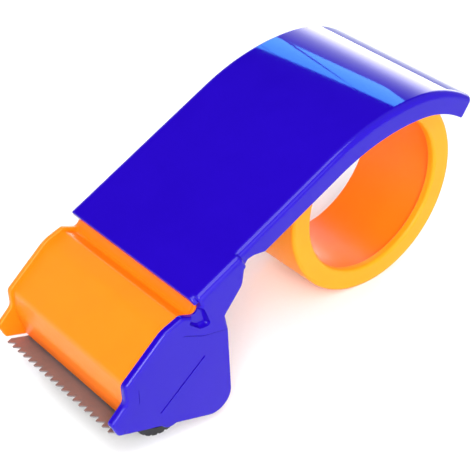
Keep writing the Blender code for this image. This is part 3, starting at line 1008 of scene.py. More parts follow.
@dataclass
class CoverShell:
    """Blue moulding: the hand plate with its flanges, and the near cheek."""

    walls: Walls
    curve: HandCurve
    cheeks: Cheeks
    fasteners: Fasteners
    axles: Axles
    near_round: float = 2.4
    far_round: float = 1.2
    rim_round: float = 0.5
    rear: float = -15.0
    flange_back: float = 3.3
    flange_root: float = 0.05
    inner_round: float = 0.6
    bay: tuple[Rounded, ...] = (
        (-46.5, 9.5, 0.0),
        (-40.4, 5.0, 4.0),
        (-38.3, 4.3, 1.2),
        (-36.0, 5.8, 0.0),
        (-34.0, 12.0, 0.0),
    )
    shoulder: Point = (-36.9, -20.5)
    shoulder_depth: float = 5.0
    shoulder_round: float = 1.0
    cheek_round: float = 1.1
    cheek_inner_round: float = 0.3
    panel: tuple[Rounded, ...] = (
        (-46.1, 34.6, 0.0),
        (-31.1, 35.4, 8.0),
        (-23.1, 36.8, 8.0),
        (-15.3, 40.2, 3.5),
        (-8.7, 37.6, 0.7),
        (-7.7, 35.4, 0.9),
        (1.3, 28.2, 1.6),
        (1.1, 21.8, 3.0),
        (6.5, 15.0, 0.4),
        (7.1, -6.0, 0.0),
        (-46.1, -6.0, 0.0),
    )
    panel_depth: float = 0.4
    line_width: float = 0.55
    line_depth: float = 0.85
    groove: tuple[Rounded, ...] = ((-24.0, 28.7, 0.0), (-7.0, 14.4, 0.0))
    groove_width: float = 0.8
    groove_depth: float = 0.55
    pocket: tuple[Rounded, ...] = (
        (-17.4, 43.2, 0.8),
        (-20.8, 48.4, 0.6),
        (-23.2, 46.0, 1.0),
        (-25.8, 39.6, 0.9),
        (-21.6, 40.0, 1.5),
    )
    pocket_levels: tuple[Point, ...] = ((-1.7, 0.8), (-1.4, 0.35), (-0.8, 0.05), (1.0, -0.3))

    def channel(self, shaper: Shaper) -> bpy.types.Object:
        """Plate and flanges, swept along the hand curve. The flanges stop short of the front."""
        walls, curve, rim = self.walls, self.curve, self.rim_round
        near, far = walls.layout.near_face, walls.layout.far_face
        plate, height = walls.plate_wall, walls.flange_height
        section = Outline.of(
            (walls.flange_outer, height, rim),
            (walls.flange_outer, 0.0, self.near_round),
            (far, 0.0, self.far_round),
            (far, plate, rim),
            (walls.far_flange_outer, plate, walls.gap),
            (walls.far_flange_outer, height, rim),
            (walls.far_flange_inner, height, rim),
            (walls.far_flange_inner, plate, self.inner_round),
            (walls.flange_inner, plate, self.inner_round),
            (walls.flange_inner, height, rim),
        )
        ends = round_over(self.rear, curve.front, rim, rim)
        channel = shaper.sweep("cover_shell", curve, section, ends)
        start, end = curve.front - self.flange_back, curve.front + 3 * PAST
        under, below = plate + self.flange_root, height + 2 * PAST
        nose = Outline.of(
            *(curve.point(start, under), curve.point(end, under)),
            *(curve.point(end, below), curve.point(start, below)),
        )
        levels = [(far - PAST, 0.0), (near + PAST, 0.0)]
        shaper.combine(channel, "DIFFERENCE", shaper.slab("nose_cut", nose, levels))
        bay = Outline.of(*self.cheeks.under_curve(*self.bay))
        levels = [(walls.flange_inner - walls.gap, 0.0), (near + PAST, 0.0)]
        shaper.combine(channel, "DIFFERENCE", shaper.slab("flange_bay", bay, levels))
        return channel

    def shoulder_bar(self, shaper: Shaper) -> bpy.types.Object:
        """Thick rounded edge where the near cheek's neck runs into the plate."""
        face = self.walls.layout.near_face
        section = Outline.of(
            (face, self.shoulder_depth),
            (face, 0.0, self.near_round),
            (self.walls.flange_inner, 0.0),
            (self.walls.flange_inner, self.shoulder_depth),
        )
        start, end = (self.walls.layout.leg + ahead for ahead in self.shoulder)
        ends = round_over(start, end, self.shoulder_round, self.shoulder_round)
        return shaper.sweep("shoulder", self.curve, section, ends)

    def cheek_cuts(self, shaper: Shaper) -> list[bpy.types.Object]:
        """Cutters for the cheek's panel, the lines on it and the pocket in its neck."""
        face = self.walls.layout.near_face
        panel = Outline.of(*self.cheeks.from_leg(*self.panel))
        above = face + PAST
        deep = face - self.panel_depth
        panel_cut = shaper.slab("panel_cut", panel, [(deep, 0.1), (above, -0.1)])
        width = self.line_width
        bottom = face - self.line_depth
        line_cut = shaper.slab("line_cut", panel, [(bottom, 0.1), (above, -0.05)])
        inside = [(bottom - PAST, width - 0.15), (above + PAST, width)]
        shaper.combine(line_cut, "DIFFERENCE", shaper.slab("line_core", panel, inside))
        start, end = (Vector(point[:2]) for point in self.cheeks.from_leg(*self.groove))
        along = (end - start).normalized()
        side = Vector((-along.y, along.x)) * self.groove_width / 2
        ring = (start - side, end - side, end + side, start + side)
        groove = Outline.of(*((point.x, point.y, 0.3) for point in ring))
        floor = deep - self.groove_depth
        groove_cut = shaper.slab("groove_cut", groove, [(floor, 0.2), (above, -0.1)])
        pocket = Outline.of(*self.cheeks.from_leg(*self.pocket))
        levels = [(face + rise, inset) for rise, inset in self.pocket_levels]
        return [panel_cut, line_cut, groove_cut, shaper.slab("pocket_cut", pocket, levels)]

    def build(self, shaper: Shaper, material: bpy.types.Material) -> bpy.types.Object:
        """Builds and dresses the cover.

        Args:
            shaper: Mesh tools.
            material: Its finish.

        Returns:
            The cover.
        """
        walls, layout = self.walls, self.walls.layout
        cover = self.channel(shaper)
        levels = round_over(
            walls.cheek_inner, layout.near_face, self.cheek_inner_round, self.cheek_round
        )
        outline = self.cheeks.outline(self.cheeks.near_top, self.cheeks.near_neck)
        cheek = shaper.slab("near_cheek", outline, levels)
        shaper.combine(cheek, "UNION", self.shoulder_bar(shaper))
        shaper.combine(cheek, "DIFFERENCE", *self.cheek_cuts(shaper))
        shaper.combine(cover, "UNION", cheek)
        for index, forward in enumerate(self.fasteners.cover_forward):
            centre = self.curve.point(forward, self.fasteners.cover_depth)
            end = walls.web_outer + self.fasteners.cover_length + 2 * walls.gap
            start = (walls.far_flange_outer + walls.far_flange_inner) / 2
            boss = shaper.rod(
                f"boss_{index}", start, end + 2 * PAST, self.fasteners.cover_boss, centre, 0.4
            )
            hole_radius = self.fasteners.cover_radius + walls.gap
            hole = shaper.rod(f"hole_{index}", layout.far_face, end, hole_radius, centre)
            shaper.combine(cover, "UNION", boss)
            shaper.combine(cover, "DIFFERENCE", hole)
        for centre, radius, length in (
            (layout.roller, self.axles.roller_radius, self.axles.roller_length),
            (layout.guide, self.axles.guide_radius, self.axles.guide_length),
        ):
            end = walls.width_centre + length / 2 + walls.running_gap
            outer = radius + walls.gap + self.axles.boss_wall
            boss = shaper.rod("axle_boss", walls.cheek_inner + PAST, end, outer, centre, 0.3)
            inside = walls.cheek_inner + walls.gap
            hole = shaper.rod("axle_hole", inside, end - PAST, radius + walls.gap, centre)
            shaper.combine(cover, "UNION", boss)
            shaper.combine(cover, "DIFFERENCE", hole)
        return shaper.dress(cover, material)


@dataclass
class BladeSeat:
    """Sizes of the blade's strip and leg."""

    wall: float = 0.6
    pitch: float = 3.1
    count: int = 19
    depth: float = 2.6
    leg_top: float = 25.0
    heel_ahead: float = 1.1
    heel_up: float = 11.5
    reach: float = 8.8
    slope: float = 12.4
    bend: float = 0.9
    tip_flat: float = 0.16
    bevel: float = 0.5


@dataclass
class FrameShell:
    """Orange moulding: side web with the hub's sleeve, far cheek and front guard."""

    walls: Walls
    curve: HandCurve
    cheeks: Cheeks
    fasteners: Fasteners
    axles: Axles
    blade: BladeSeat
    guard_outer: tuple[Rounded, ...] = (
        (-22.1, 47.7, 0.0),
        (-20.2, 43.0, 1.8),
        (-15.5, 45.2, 2.0),
        (-8.8, 42.9, 10.0),
        (5.1, 30.3, 3.0),
        (4.5, 22.0, 10.0),
    )
    guard_inner: tuple[Rounded, ...] = (
        (0.3, 29.6, 2.0),
        (-9.1, 40.2, 5.0),
        (-15.5, 42.5, 2.0),
        (-20.7, 39.8, 2.0),
        (-23.1, 42.0, 0.0),
    )
    guard_round: float = 0.35
    lip_step: float = 0.1
    guard_wall: float = 2.2
    tail_front: tuple[Rounded, ...] = ((-20.9, 46.0, 0.0), (-19.6, 42.6, 0.0), (-21.5, 41.2, 0.0))
    tail_back: float = 3.3
    tail_length: float = 9.5
    tail_taper: float = 4.0
    arm_rear: float = -11.0
    arm_front: float = -28.1
    arm_neck: tuple[Rounded, ...] = ((-33.1, 26.0, 0.0),)
    arm_bend: tuple[tuple[float, ...], ...] = ((58.0, 31.0, 30.0), (30.0, 16.1))
    arm_rise: Point = (-28.9, 58.1)
    cheek_round: float = 0.9
    cheek_inner_round: float = 0.45
    disc_radius: float = 36.4
    sleeve_wall: float = 2.4
    bead: float = 0.6
    bead_width: float = 1.2

    def guard(self, shaper: Shaper) -> list[bpy.types.Object]:
        """Front guard and the tail that the cover overlaps."""
        walls, blade = self.walls, self.blade
        lip = blade.heel_up + walls.gap + self.lip_step
        tip = ((blade.heel_ahead + self.lip_step, lip, 0.4), (walls.gap, lip, 0.0))
        corners = self.cheeks.from_leg(*self.guard_outer, *tip, *self.guard_inner)
        guard = Outline.of(*corners)
        start = (walls.layout.far_face + walls.web_inner) / 2
        end = walls.cheek_inner - walls.gap
        body = shaper.slab("guard", guard, round_over(start, end, 0.0, self.guard_round))
        under = walls.plate_wall + walls.gap
        last = self.curve.front - self.tail_back
        first = last - self.tail_length
        top = self.curve.run(first, last, under)
        bottom = self.curve.run(first, last - self.tail_taper, under + self.guard_wall)
        tail = Outline.of(*top, *self.cheeks.from_leg(*self.tail_front), *bottom[::-1])
        levels = round_over(walls.far_flange_inner + walls.gap, walls.flange_inner - walls.gap, 0.0)
        return [body, shaper.slab("guard_tail", tail, levels)]

    def sleeve(self, shaper: Shaper) -> bpy.types.Object:
        """Disc and sleeve that the tape hub turns on."""
        walls = self.walls
        outer = walls.hub_bore - walls.running_gap
        inner = outer - self.sleeve_wall
        near = walls.web_inner + walls.running_gap + walls.hub_length
        end = near - walls.hub_lip - walls.running_gap
        bead = end - walls.hub_lip
        far = walls.layout.far_face
        profile = Outline.of(
            (far, inner, 0.7),
            (far, self.disc_radius, 0.8),
            (walls.pad_inner, self.disc_radius, 0.2),
            (walls.pad_inner, outer, 0.0),
            (bead - self.bead_width, outer, 0.0),
            (bead - self.bead_width / 2, outer + self.bead, 0.2),
            (bead, outer + self.bead, 0.2),
            (bead + self.bead_width, outer, 0.0),
            (end, outer, 0.5),
            (end, inner, 0.5),
        )
        return shaper.turned("sleeve", profile.ring(), (0.0, *walls.layout.hub), 144)

    def build(self, shaper: Shaper, material: bpy.types.Material) -> bpy.types.Object:
        """Builds and dresses the frame moulding.

        Args:
            shaper: Mesh tools.
            material: Its finish.

        Returns:
            The frame moulding.
        """
        walls, layout = self.walls, self.walls.layout
        front = layout.leg + self.arm_front
        upper = self.curve.run(self.arm_rear, front, walls.flange_height / 2)
        neck = self.cheeks.from_leg(*self.arm_neck)
        arm = Outline.of(*upper, *neck, *self.arm_bend, layout.hub, self.arm_rise)
        levels = round_over(walls.web_outer, walls.web_inner, 0.35, 0.2)
        shell = shaper.slab("frame_shell", arm, levels)
        wide = walls.hub_bore - walls.running_gap - self.sleeve_wall / 2
        far, near = layout.far_face - PAST, walls.web_inner + PAST
        hole = shaper.rod("web_hole", far, near, wide, layout.hub)
        shaper.combine(shell, "DIFFERENCE", hole)
        shaper.combine(shell, "UNION", self.sleeve(shaper))
        levels = round_over(
            layout.far_face, walls.pad_inner, self.cheek_round, self.cheek_inner_round
        )
        outline = self.cheeks.outline(self.cheeks.far_top)
        shaper.combine(shell, "UNION", shaper.slab("far_cheek", outline, levels))
        for piece in self.guard(shaper):
            shaper.combine(shell, "UNION", piece)
        for centre, radius, length in (
            (layout.roller, self.axles.roller_radius, self.axles.roller_length),
            (layout.guide, self.axles.guide_radius, self.axles.guide_length),
        ):
            end = walls.width_centre - length / 2 - walls.running_gap
            outer = radius + walls.gap + self.axles.boss_wall
            boss = shaper.rod("far_boss", walls.web_inner - PAST, end, outer, centre, 0.3)
            inside = walls.web_inner - walls.gap
            hole = shaper.rod("far_hole", inside, end + PAST, radius + walls.gap, centre)
            shaper.combine(shell, "UNION", boss)
            shaper.combine(shell, "DIFFERENCE", hole)
        for forward in self.fasteners.cover_forward:
            head, depth = self.fasteners.cover_head
            shank = self.fasteners.cover_radius + walls.gap
            sink = [
                (far, 0.0),
                (far, head + walls.gap),
                (walls.web_outer, head + walls.gap),
                (walls.web_outer + depth, shank),
                (near, shank),
                (near, 0.0),
            ]
            centre = self.curve.point(forward, self.fasteners.cover_depth)
            shaper.combine(shell, "DIFFERENCE", shaper.turned("sink", sink, (0.0, *centre), 48))
        return shaper.dress(shell, material)


@dataclass
class TapeHub:
    """Drum that carries the tape roll and turns on the frame's sleeve."""

    walls: Walls
    lip_radius: float = 29.5
    edge_round: float = 1.3
    groove: float = 0.6
    groove_steps: tuple[float, ...] = (1.6, 0.4, -1.0, -1.6)

    def build(self, shaper: Shaper, material: bpy.types.Material) -> bpy.types.Object:
        """Builds and dresses the drum."""
        walls, layout = self.walls, self.walls.layout
        radius, bore = layout.hub[1], walls.hub_bore
        far = walls.web_inner + walls.running_gap
        near = far + walls.hub_length
        seat = near - walls.hub_lip
        middle = seat - walls.running_gap - walls.hub_lip
        depths = (bore, bore + self.groove, bore + self.groove, bore)
        groove = ((middle + step, deep, 0.2) for step, deep in zip(self.groove_steps, depths))
        profile = Outline.of(
            (far, bore, 0.4),
            (far, radius, 0.6),
            (near, radius, self.edge_round),
            (near, self.lip_radius, self.edge_round),
            (seat, self.lip_radius, 0.4),
            (seat, bore, 0.5),
            *groove,
        )
        drum = shaper.turned("hub_drum_shell", profile.ring(), (0.0, *layout.hub), 180)
        return shaper.dress(drum, material)


@dataclass
class PressRoller:
    """Fluted rubber tyre on its core, with a nylon bush in each end."""

    walls: Walls
    axles: Axles
    flutes: int = 24
    flute_depth: float = 0.6
    crest_share: float = 0.6
    tyre_wall: float = 3.2
    bush_radius: float = 4.4
    bush_length: float = 6.0
    edge_round: float = 0.5

    def outline(self, radius: float) -> Outline:
        """Fluted outline of the tyre."""
        forward, up = self.walls.layout.roller
        half = self.crest_share * math.pi / self.flutes
        corners = []
        for flute in range(self.flutes):
            middle = 2 * math.pi * flute / self.flutes - math.pi / 2
            valley = middle + math.pi / self.flutes
            for angle, reach, rounding in (
                (middle - half, radius / math.cos(half), 0.25),
                (middle + half, radius / math.cos(half), 0.25),
                (valley, radius - self.flute_depth, 0.15),
            ):
                corners.append(
                    (forward + reach * math.cos(angle), up + reach * math.sin(angle), rounding)
                )
        return Outline.of(*corners)

    def build(self, shaper: Shaper, finishes: Finishes) -> None:
        """Builds and installs the tyre, the core and the bushes."""
        walls = self.walls
        centre = walls.layout.roller
        radius = centre[1]
        half = self.axles.roller_length / 2
        start, end = walls.width_centre - half, walls.width_centre + half
        core_radius = radius - self.tyre_wall
        tyre = shaper.slab(
            "roller_tyre",
            self.outline(radius),
            round_over(start, end, self.edge_round, self.edge_round),
        )
        bore = shaper.rod("tyre_bore", start - PAST, end + PAST, core_radius + walls.gap, centre)
        shaper.combine(tyre, "DIFFERENCE", bore)
        shaper.dress(tyre, finishes.rubber)
        install(tyre, Body.PRESS_ROLLER, Slot.RUBBER, "press_roller_tyre")
        seat = self.bush_radius + walls.gap
        shaft = self.axles.roller_radius + 2 * walls.gap
        depth = self.bush_length + walls.gap
        profile = Outline.of(
            (start, seat, 0.2),
            (start, core_radius, 0.4),
            (end, core_radius, 0.4),
            (end, seat, 0.2),
            (end - depth, seat, 0.0),
            (end - depth, shaft, 0.2),
            (start + depth, shaft, 0.2),
            (start + depth, seat, 0.0),
        )
        core = shaper.turned("roller_core", profile.ring(), (0.0, *centre), 72)
        shaper.dress(core, finishes.black)
        install(core, Body.PRESS_ROLLER, Slot.BLACK, "press_roller_core")
        for name, low in (("far", start), ("near", end - self.bush_length)):
            ring = Outline.of(
                (low, self.axles.roller_radius + walls.gap, 0.2),
                (low, self.bush_radius, 0.4),
                (low + self.bush_length, self.bush_radius, 0.4),
                (low + self.bush_length, self.axles.roller_radius + walls.gap, 0.2),
            )
            bush = shaper.turned(f"nylon_bush_{name}", ring.ring(), (0.0, *centre), 48)
            shaper.dress(bush, finishes.nylon)
            install(bush, Body.PRESS_ROLLER, Slot.NYLON, f"roller_bush_{name}")


@dataclass
class GuideRoller:
    """Thin ribbed idler behind the press roller."""

    walls: Walls
    axles: Axles
    radius: float = 4.0
    rib: float = 0.7
    ribs: int = 8

    def build(self, shaper: Shaper, material: bpy.types.Material) -> None:
        """Builds and installs the idler."""
        length = self.axles.guide_length
        start = self.walls.width_centre - length / 2
        pitch = length / (2 * self.ribs - 1)
        bore = self.axles.guide_radius + self.walls.gap
        corners = [(start, bore, 0.2)]
        for index in range(2 * self.ribs - 1):
            radius = self.radius - self.rib * (index % 2)
            corners.append((start + pitch * index, radius, 0.25))
            corners.append((start + pitch * (index + 1), radius, 0.25))
        corners.append((start + length, bore, 0.2))
        profile = Outline.of(*corners).ring()
        idler = shaper.turned("guide_idler_roller", profile, (0.0, *self.walls.layout.guide), 48)
        shaper.dress(idler, material)
        install(idler, Body.GUIDE, Slot.NYLON, "guide_roller")


@dataclass
class SteelParts:
    """Axles and screws."""

    walls: Walls
    curve: HandCurve
    fasteners: Fasteners
    axles: Axles
    blade: BladeSeat
    recess_width: float = 0.6
    recess_reach: float = 1.3
    recess_depth: float = 0.7

    def axle(self, shaper: Shaper, name: str, radius: float, centre: Point) -> bpy.types.Object:
        """Pin with rounded ends between the cheeks."""
        start = self.walls.web_inner + 2 * self.walls.gap
        end = self.walls.cheek_inner - 2 * self.walls.gap
        return shaper.rod(name, start, end, radius, centre, radius / 4)

    def cross(self, shaper: Shaper, screw: bpy.types.Object, start: Vector, along_x: bool) -> None:
        """Cuts a cross recess into a screw's head.

        Args:
            shaper: Mesh tools.
            screw: The screw.
            start: Middle of the head's outer face, as (x, forward, up).
            along_x: True where the screw points along the width.
        """
        half = self.recess_width / 2
        x, forward, up = start
        for wide, tall in ((self.recess_reach, half), (half, self.recess_reach)):
            rings = []
            for depth, share in ((-1.0, 1.0), (0.0, 1.0), (self.recess_depth, 0.55)):
                ring = []
                for side, rise in ((-1, -1), (1, -1), (1, 1), (-1, 1)):
                    sway = side * (wide * share if wide > tall else wide)
                    lift = rise * (tall * share if tall > wide else tall)
                    if along_x:
                        ring.append(shaper.layout.place(x + depth, forward + sway, up + lift))
                    else:
                        ring.append(shaper.layout.place(x + sway, forward + depth, up + lift))
                rings.append(ring)
            shaper.combine(screw, "DIFFERENCE", shaper.loft("recess", rings))

    def cover_screw(self, shaper: Shaper, name: str, forward: float) -> bpy.types.Object:
        """Countersunk screw from the web's outer face into the cover's boss."""
        head, depth = self.fasteners.cover_head
        radius = self.fasteners.cover_radius
        top = self.walls.web_outer + self.fasteners.head_sunk
        end = top + self.fasteners.cover_length
        profile = Outline.of(
            (top, 0.0),
            (top, head, 0.15),
            (top + depth, radius, 0.3),
            (end - radius, radius, 0.3),
            (end, radius / 3, 0.1),
            (end, 0.0),
        )
        centre = self.curve.point(forward, self.fasteners.cover_depth)
        screw = shaper.turned(name, profile.ring(), (0.0, *centre), 40)
        self.cross(shaper, screw, (top, *centre), True)
        return screw

    def blade_screw(self, shaper: Shaper, name: str, x: float) -> bpy.types.Object:
        """Pan-head screw from the blade's leg into the guard."""
        head, depth = self.fasteners.blade_head
        radius = self.fasteners.blade_radius
        under = self.walls.layout.leg - self.blade.wall - self.walls.gap
        top = under - depth
        end = self.walls.layout.leg + self.walls.gap + self.fasteners.blade_length
        profile = Outline.of(
            (top, 0.0),
            (top, head, depth / 2),
            (under, head, 0.1),
            (under, radius, 0.1),
            (end, radius, 0.3),
            (end, 0.0),
        )
        up = self.fasteners.blade_up
        screw = shaper.turned(name, profile.ring(), (x, 0.0, up), 40, along_y=True)
        self.cross(shaper, screw, (x, top, up), False)
        return screw

    def build(self, shaper: Shaper, material: bpy.types.Material) -> None:
        """Builds and installs both axles and every screw."""
        layout = self.walls.layout
        pieces = []
        for role, radius, centre in (
            ("roller", self.axles.roller_radius, layout.roller),
            ("guide", self.axles.guide_radius, layout.guide),
        ):
            pin = self.axle(shaper, f"{role}_pin", radius, centre)
            pieces.append((pin, f"{role}_axle"))
        for place, forward in zip(("rear", "middle", "front"), self.fasteners.cover_forward):
            screw = self.cover_screw(shaper, f"countersunk_screw_{place}", forward)
            pieces.append((screw, f"cover_screw_{place}"))
        for place, side in (("far", -1), ("near", 1)):
            x = self.walls.width_centre + side * self.fasteners.blade_spread / 2
            screw = self.blade_screw(shaper, f"pan_screw_{place}", x)
            pieces.append((screw, f"blade_screw_{place}"))
        for piece, node in pieces:
            shaper.dress(piece, material)
            install(piece, Body.DISPENSER, Slot.STEEL, node)


@dataclass
class CutterBlade:
    """Steel strip with ground teeth, bent down from a leg behind the guard."""

    walls: Walls
    fasteners: Fasteners
    seat: BladeSeat

    def path(self, reach: float, depth: float) -> list[Point]:
        """Side-view points of one face of the strip, from the leg's top to a reach.

        Args:
            reach: Distance from the heel to the end of the strip.
            depth: 0 for the upper and outer face, the wall for the lower and inner one.

        Returns:
            The points as (forward, up).
        """
        seat = self.seat
        slope = math.radians(seat.slope)
        heel = Vector((self.walls.layout.leg + seat.heel_ahead, seat.heel_up))
        along = Vector((math.cos(slope), math.sin(slope)))
        under = Vector((math.sin(slope), -math.cos(slope))) * depth
        leg = self.walls.layout.leg - depth
        corner = heel + under - along * ((heel.x + under.x - leg) / along.x)
        radius = seat.bend + depth
        turn = math.pi / 2 - slope
        reach_back = radius * math.tan(turn / 2)
        centre = corner + Vector((radius, reach_back))
        points = [(leg, seat.leg_top)]
        for step in range(7):
            angle = math.pi + turn * step / 6
            across, rise = radius * math.cos(angle), radius * math.sin(angle)
            points.append((centre.x + across, centre.y + rise))
        end = heel + along * reach + under
        points.append((end.x, end.y))
        return points

    def build(self, shaper: Shaper, material: bpy.types.Material) -> bpy.types.Object:
        """Builds and dresses the blade.

        Args:
            shaper: Mesh tools.
            material: Its finish.

        Returns:
            The blade.
        """
        seat = self.seat
        width = seat.pitch * seat.count
        start = self.walls.width_centre - width / 2
        columns = [(start, seat.reach - seat.depth)]
        for tooth in range(seat.count):
            middle = start + seat.pitch * (tooth + 0.5)
            columns.append((middle - seat.tip_flat / 2, seat.reach - seat.tip_flat / 2))
            columns.append((middle + seat.tip_flat / 2, seat.reach - seat.tip_flat / 2))
            columns.append((start + seat.pitch * (tooth + 1), seat.reach - seat.depth))
        rings = []
        for x, reach in columns:
            outer = self.path(reach, 0.0)
            inner = self.path(reach - seat.bevel, seat.wall)
            ring = [shaper.layout.place(x, *point) for point in [*outer, *reversed(inner)]]
            rings.append(ring)
        blade = shaper.loft("toothed_blade", rings)
        hole_radius = self.fasteners.blade_radius + self.walls.gap
        low, high = self.walls.layout.leg - 2 * PAST, self.walls.layout.leg + 2 * PAST
        for side in (-1, 1):
            x = self.walls.width_centre + side * self.fasteners.blade_spread / 2
            profile = [(low, 0.0), (low, hole_radius), (high, hole_radius), (high, 0.0)]
            centre = (x, 0.0, self.fasteners.blade_up)
            shaper.combine(
                blade, "DIFFERENCE", shaper.turned("blade_hole", profile, centre, 40, True)
            )
        return shaper.dress(blade, material, 20.0)


# ---------------------------------------------------------------- studio


@dataclass(frozen=True)
class Softbox:
    """Rectangular light that points at a target, in metres."""

    name: str
    position: tuple[float, float, float]
    size: Point
    power: float
    colour: str = "ffffff"
    target: tuple[float, float, float] = (0.0, 0.0, 0.03)

    def build(self) -> None:
        """Adds the light."""
        data = bpy.data.lights.new(self.name, "AREA")
        data.shape = "RECTANGLE"
        data.size, data.size_y = self.size
        data.energy = self.power
        data.color = linear(self.colour)[:3]
        light = bpy.data.objects.new(self.name, data)
        bpy.context.scene.collection.objects.link(light)
        light.location = self.position
        aim = Vector(self.target) - Vector(self.position)
        light.rotation_euler = aim.to_track_quat("-Z", "Y").to_euler()


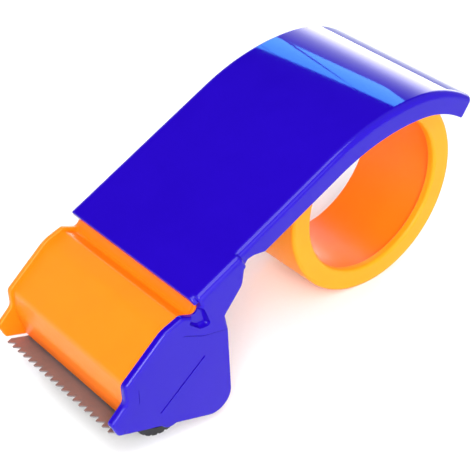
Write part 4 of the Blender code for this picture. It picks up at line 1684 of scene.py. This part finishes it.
@dataclass
class Studio:
    """Pale floor, soft lights and the camera."""

    target: tuple[float, float, float] = (-0.0184057, 0.0039106, 0.0254358)
    azimuth: float = -40.433
    elevation: float = 32.769
    roll: float = 1.704
    distance: float = 0.5
    lens: float = 110.6
    floor_size: float = 6.0
    wall: float = 0.65
    glow: float = 7.0
    flag: float = 0.02
    glow_side: tuple[float, float, float] = (-0.65, 0.76, 0.0)
    glow_heights: Point = (0.12, 0.62)
    pane_count: int = 3
    pane_azimuth: float = 134.7
    pane_elevation: float = 35.0
    pane_width: float = 7.4
    pane_bar: float = 0.45
    pane_height: float = 7.2
    pane_distance: float = 1.6
    pane_radiance: float = 11.0
    pane_colour: str = "5cbcff"
    pane_target: tuple[float, float, float] = (0.0, 0.03, 0.085)
    softboxes: tuple[Softbox, ...] = (
        Softbox("overhead_softbox", (0.45, -0.35, 1.15), (0.7, 0.7), 7.0),
        Softbox("key_softbox", (0.88, -0.72, 0.72), (0.6, 0.6), 16.0),
        Softbox("right_softbox", (1.4, -0.2, 0.45), (0.9, 0.9), 5.0),
        Softbox("front_softbox", (0.1, -1.4, 0.7), (0.9, 0.6), 2.0),
    )

    def camera(self) -> None:
        """Adds the camera at the product's viewing angle."""
        data = bpy.data.cameras.new("product_camera")
        data.lens = self.lens
        data.clip_start = 0.01
        data.dof.use_dof = False
        camera = bpy.data.objects.new("product_camera", data)
        bpy.context.scene.collection.objects.link(camera)
        away = self.direction(self.azimuth, self.elevation)
        turn = (-away).to_track_quat("-Z", "Y").to_matrix().to_4x4()
        turn = turn @ Matrix.Rotation(math.radians(self.roll), 4, "Z")
        place = Matrix.Translation(Vector(self.target) + away * self.distance)
        camera.matrix_world = place @ turn
        bpy.context.scene.camera = camera

    def floor(self) -> None:
        """Adds the floor under the dispenser."""
        data = bmesh.new()
        bmesh.ops.create_grid(data, x_segments=8, y_segments=8, size=self.floor_size / 2)
        mesh = bpy.data.meshes.new("floor")
        data.to_mesh(mesh)
        data.free()
        floor = bpy.data.objects.new("floor", mesh)
        bpy.context.scene.collection.objects.link(floor)
        mesh.materials.append(StudioPaper().build())

    def world(self) -> None:
        """Adds the surround: white on the right, dark overhead on the left, a glow behind."""
        world = bpy.data.worlds.new("studio_surround")
        world.use_nodes = True
        tree = world.node_tree
        place = add_node(tree, "ShaderNodeTexCoord")
        facing = add_node(tree, "ShaderNodeSeparateXYZ", sockets={0: place.outputs["Generated"]})
        across, height = facing.outputs["X"], facing.outputs["Z"]
        behind = add_node(
            tree,
            "ShaderNodeVectorMath",
            {"operation": "DOT_PRODUCT"},
            {0: place.outputs["Generated"], 1: self.glow_side},
        )
        wall = self._ramp(tree, behind.outputs["Value"], (0.1, 0.75), (self.wall, self.glow))
        left = self._ramp(tree, height, self.glow_heights, (wall, self.flag))
        even = self._ramp(tree, across, (-0.45, 0.0), (left, self.wall))
        background = tree.nodes["Background"]
        background.inputs["Color"].default_value = (1.0, 1.0, 1.0, 1.0)
        tree.links.new(even, background.inputs["Strength"])
        bpy.context.scene.world = world

    @staticmethod
    def _ramp(tree: bpy.types.NodeTree, factor: object, limits: Point, ends: tuple) -> object:
        """Output that runs smoothly between two ends as a factor crosses its limits."""
        node = add_node(
            tree,
            "ShaderNodeMapRange",
            {"interpolation_type": "SMOOTHSTEP"},
            {"Value": factor, "From Min": limits[0], "From Max": limits[1]},
        )
        mix = add_node(tree, "ShaderNodeMix", {"data_type": "FLOAT"}, {0: node.outputs["Result"]})
        for socket, end in zip((mix.inputs[2], mix.inputs[3]), ends):
            if isinstance(end, bpy.types.NodeSocket):
                tree.links.new(end, socket)
            else:
                socket.default_value = end
        return mix.outputs[0]

    def panes(self) -> None:
        """Adds the row of blue window panes that the cover's crest mirrors."""
        level = self.pane_width * math.cos(math.radians(self.pane_elevation))
        width, height = (
            2 * self.pane_distance * math.tan(math.radians(angle / 2))
            for angle in (level, self.pane_height)
        )
        for index in range(self.pane_count):
            azimuth = self.pane_azimuth + index * (self.pane_width + self.pane_bar)
            direction = self.direction(azimuth + self.pane_width / 2, self.pane_elevation)
            Softbox(
                f"window_pane_{index}",
                tuple(Vector(self.pane_target) + direction * self.pane_distance),
                (width, height),
                self.pane_radiance * math.pi * width * height,
                self.pane_colour,
                self.pane_target,
            ).build()

    @staticmethod
    def direction(azimuth: float, elevation: float) -> Vector:
        """Unit vector of an azimuth and an elevation in degrees."""
        around, rise = math.radians(azimuth), math.radians(elevation)
        level = math.cos(rise)
        return Vector((level * math.cos(around), level * math.sin(around), math.sin(rise)))

    def build(self) -> None:
        """Builds the whole studio."""
        self.camera()
        self.floor()
        self.world()
        self.panes()
        for box in self.softboxes:
            box.build()
        view = bpy.context.scene.view_settings
        view.view_transform = "Standard"
        view.look = "None"


# ---------------------------------------------------------------- main


def main() -> None:
    """Builds the scene in order."""
    logging.basicConfig(level=logging.INFO, format="%(name)s: %(message)s")
    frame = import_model()
    layout = Layout.of(frame)
    walls = Walls(layout)
    curve = HandCurve(layout.crest_up, layout.leg - 19.3)
    cheeks, fasteners, axles = Cheeks(layout, curve), Fasteners(), Axles()
    blade = BladeSeat()
    shaper = Shaper(layout)
    Studio().build()
    finishes = Finishes.build()

    cover = CoverShell(walls, curve, cheeks, fasteners, axles).build(shaper, finishes.blue)
    install(cover, Body.DISPENSER, Slot.BLUE, "cover")
    shell = FrameShell(walls, curve, cheeks, fasteners, axles, blade)
    install(shell.build(shaper, finishes.orange), Body.DISPENSER, Slot.ORANGE, "frame")
    drum = TapeHub(walls).build(shaper, finishes.hub)
    install(drum, Body.HUB, Slot.ORANGE, "tape_hub")
    PressRoller(walls, axles).build(shaper, finishes)
    GuideRoller(walls, axles).build(shaper, finishes.nylon)
    SteelParts(walls, curve, fasteners, axles, blade).build(shaper, finishes.turned_steel)
    strip = CutterBlade(walls, fasteners, blade).build(shaper, finishes.blade_steel)
    install(strip, Body.DISPENSER, Slot.BLADE, "cutter_blade")


if __name__ == "__main__":
    main()
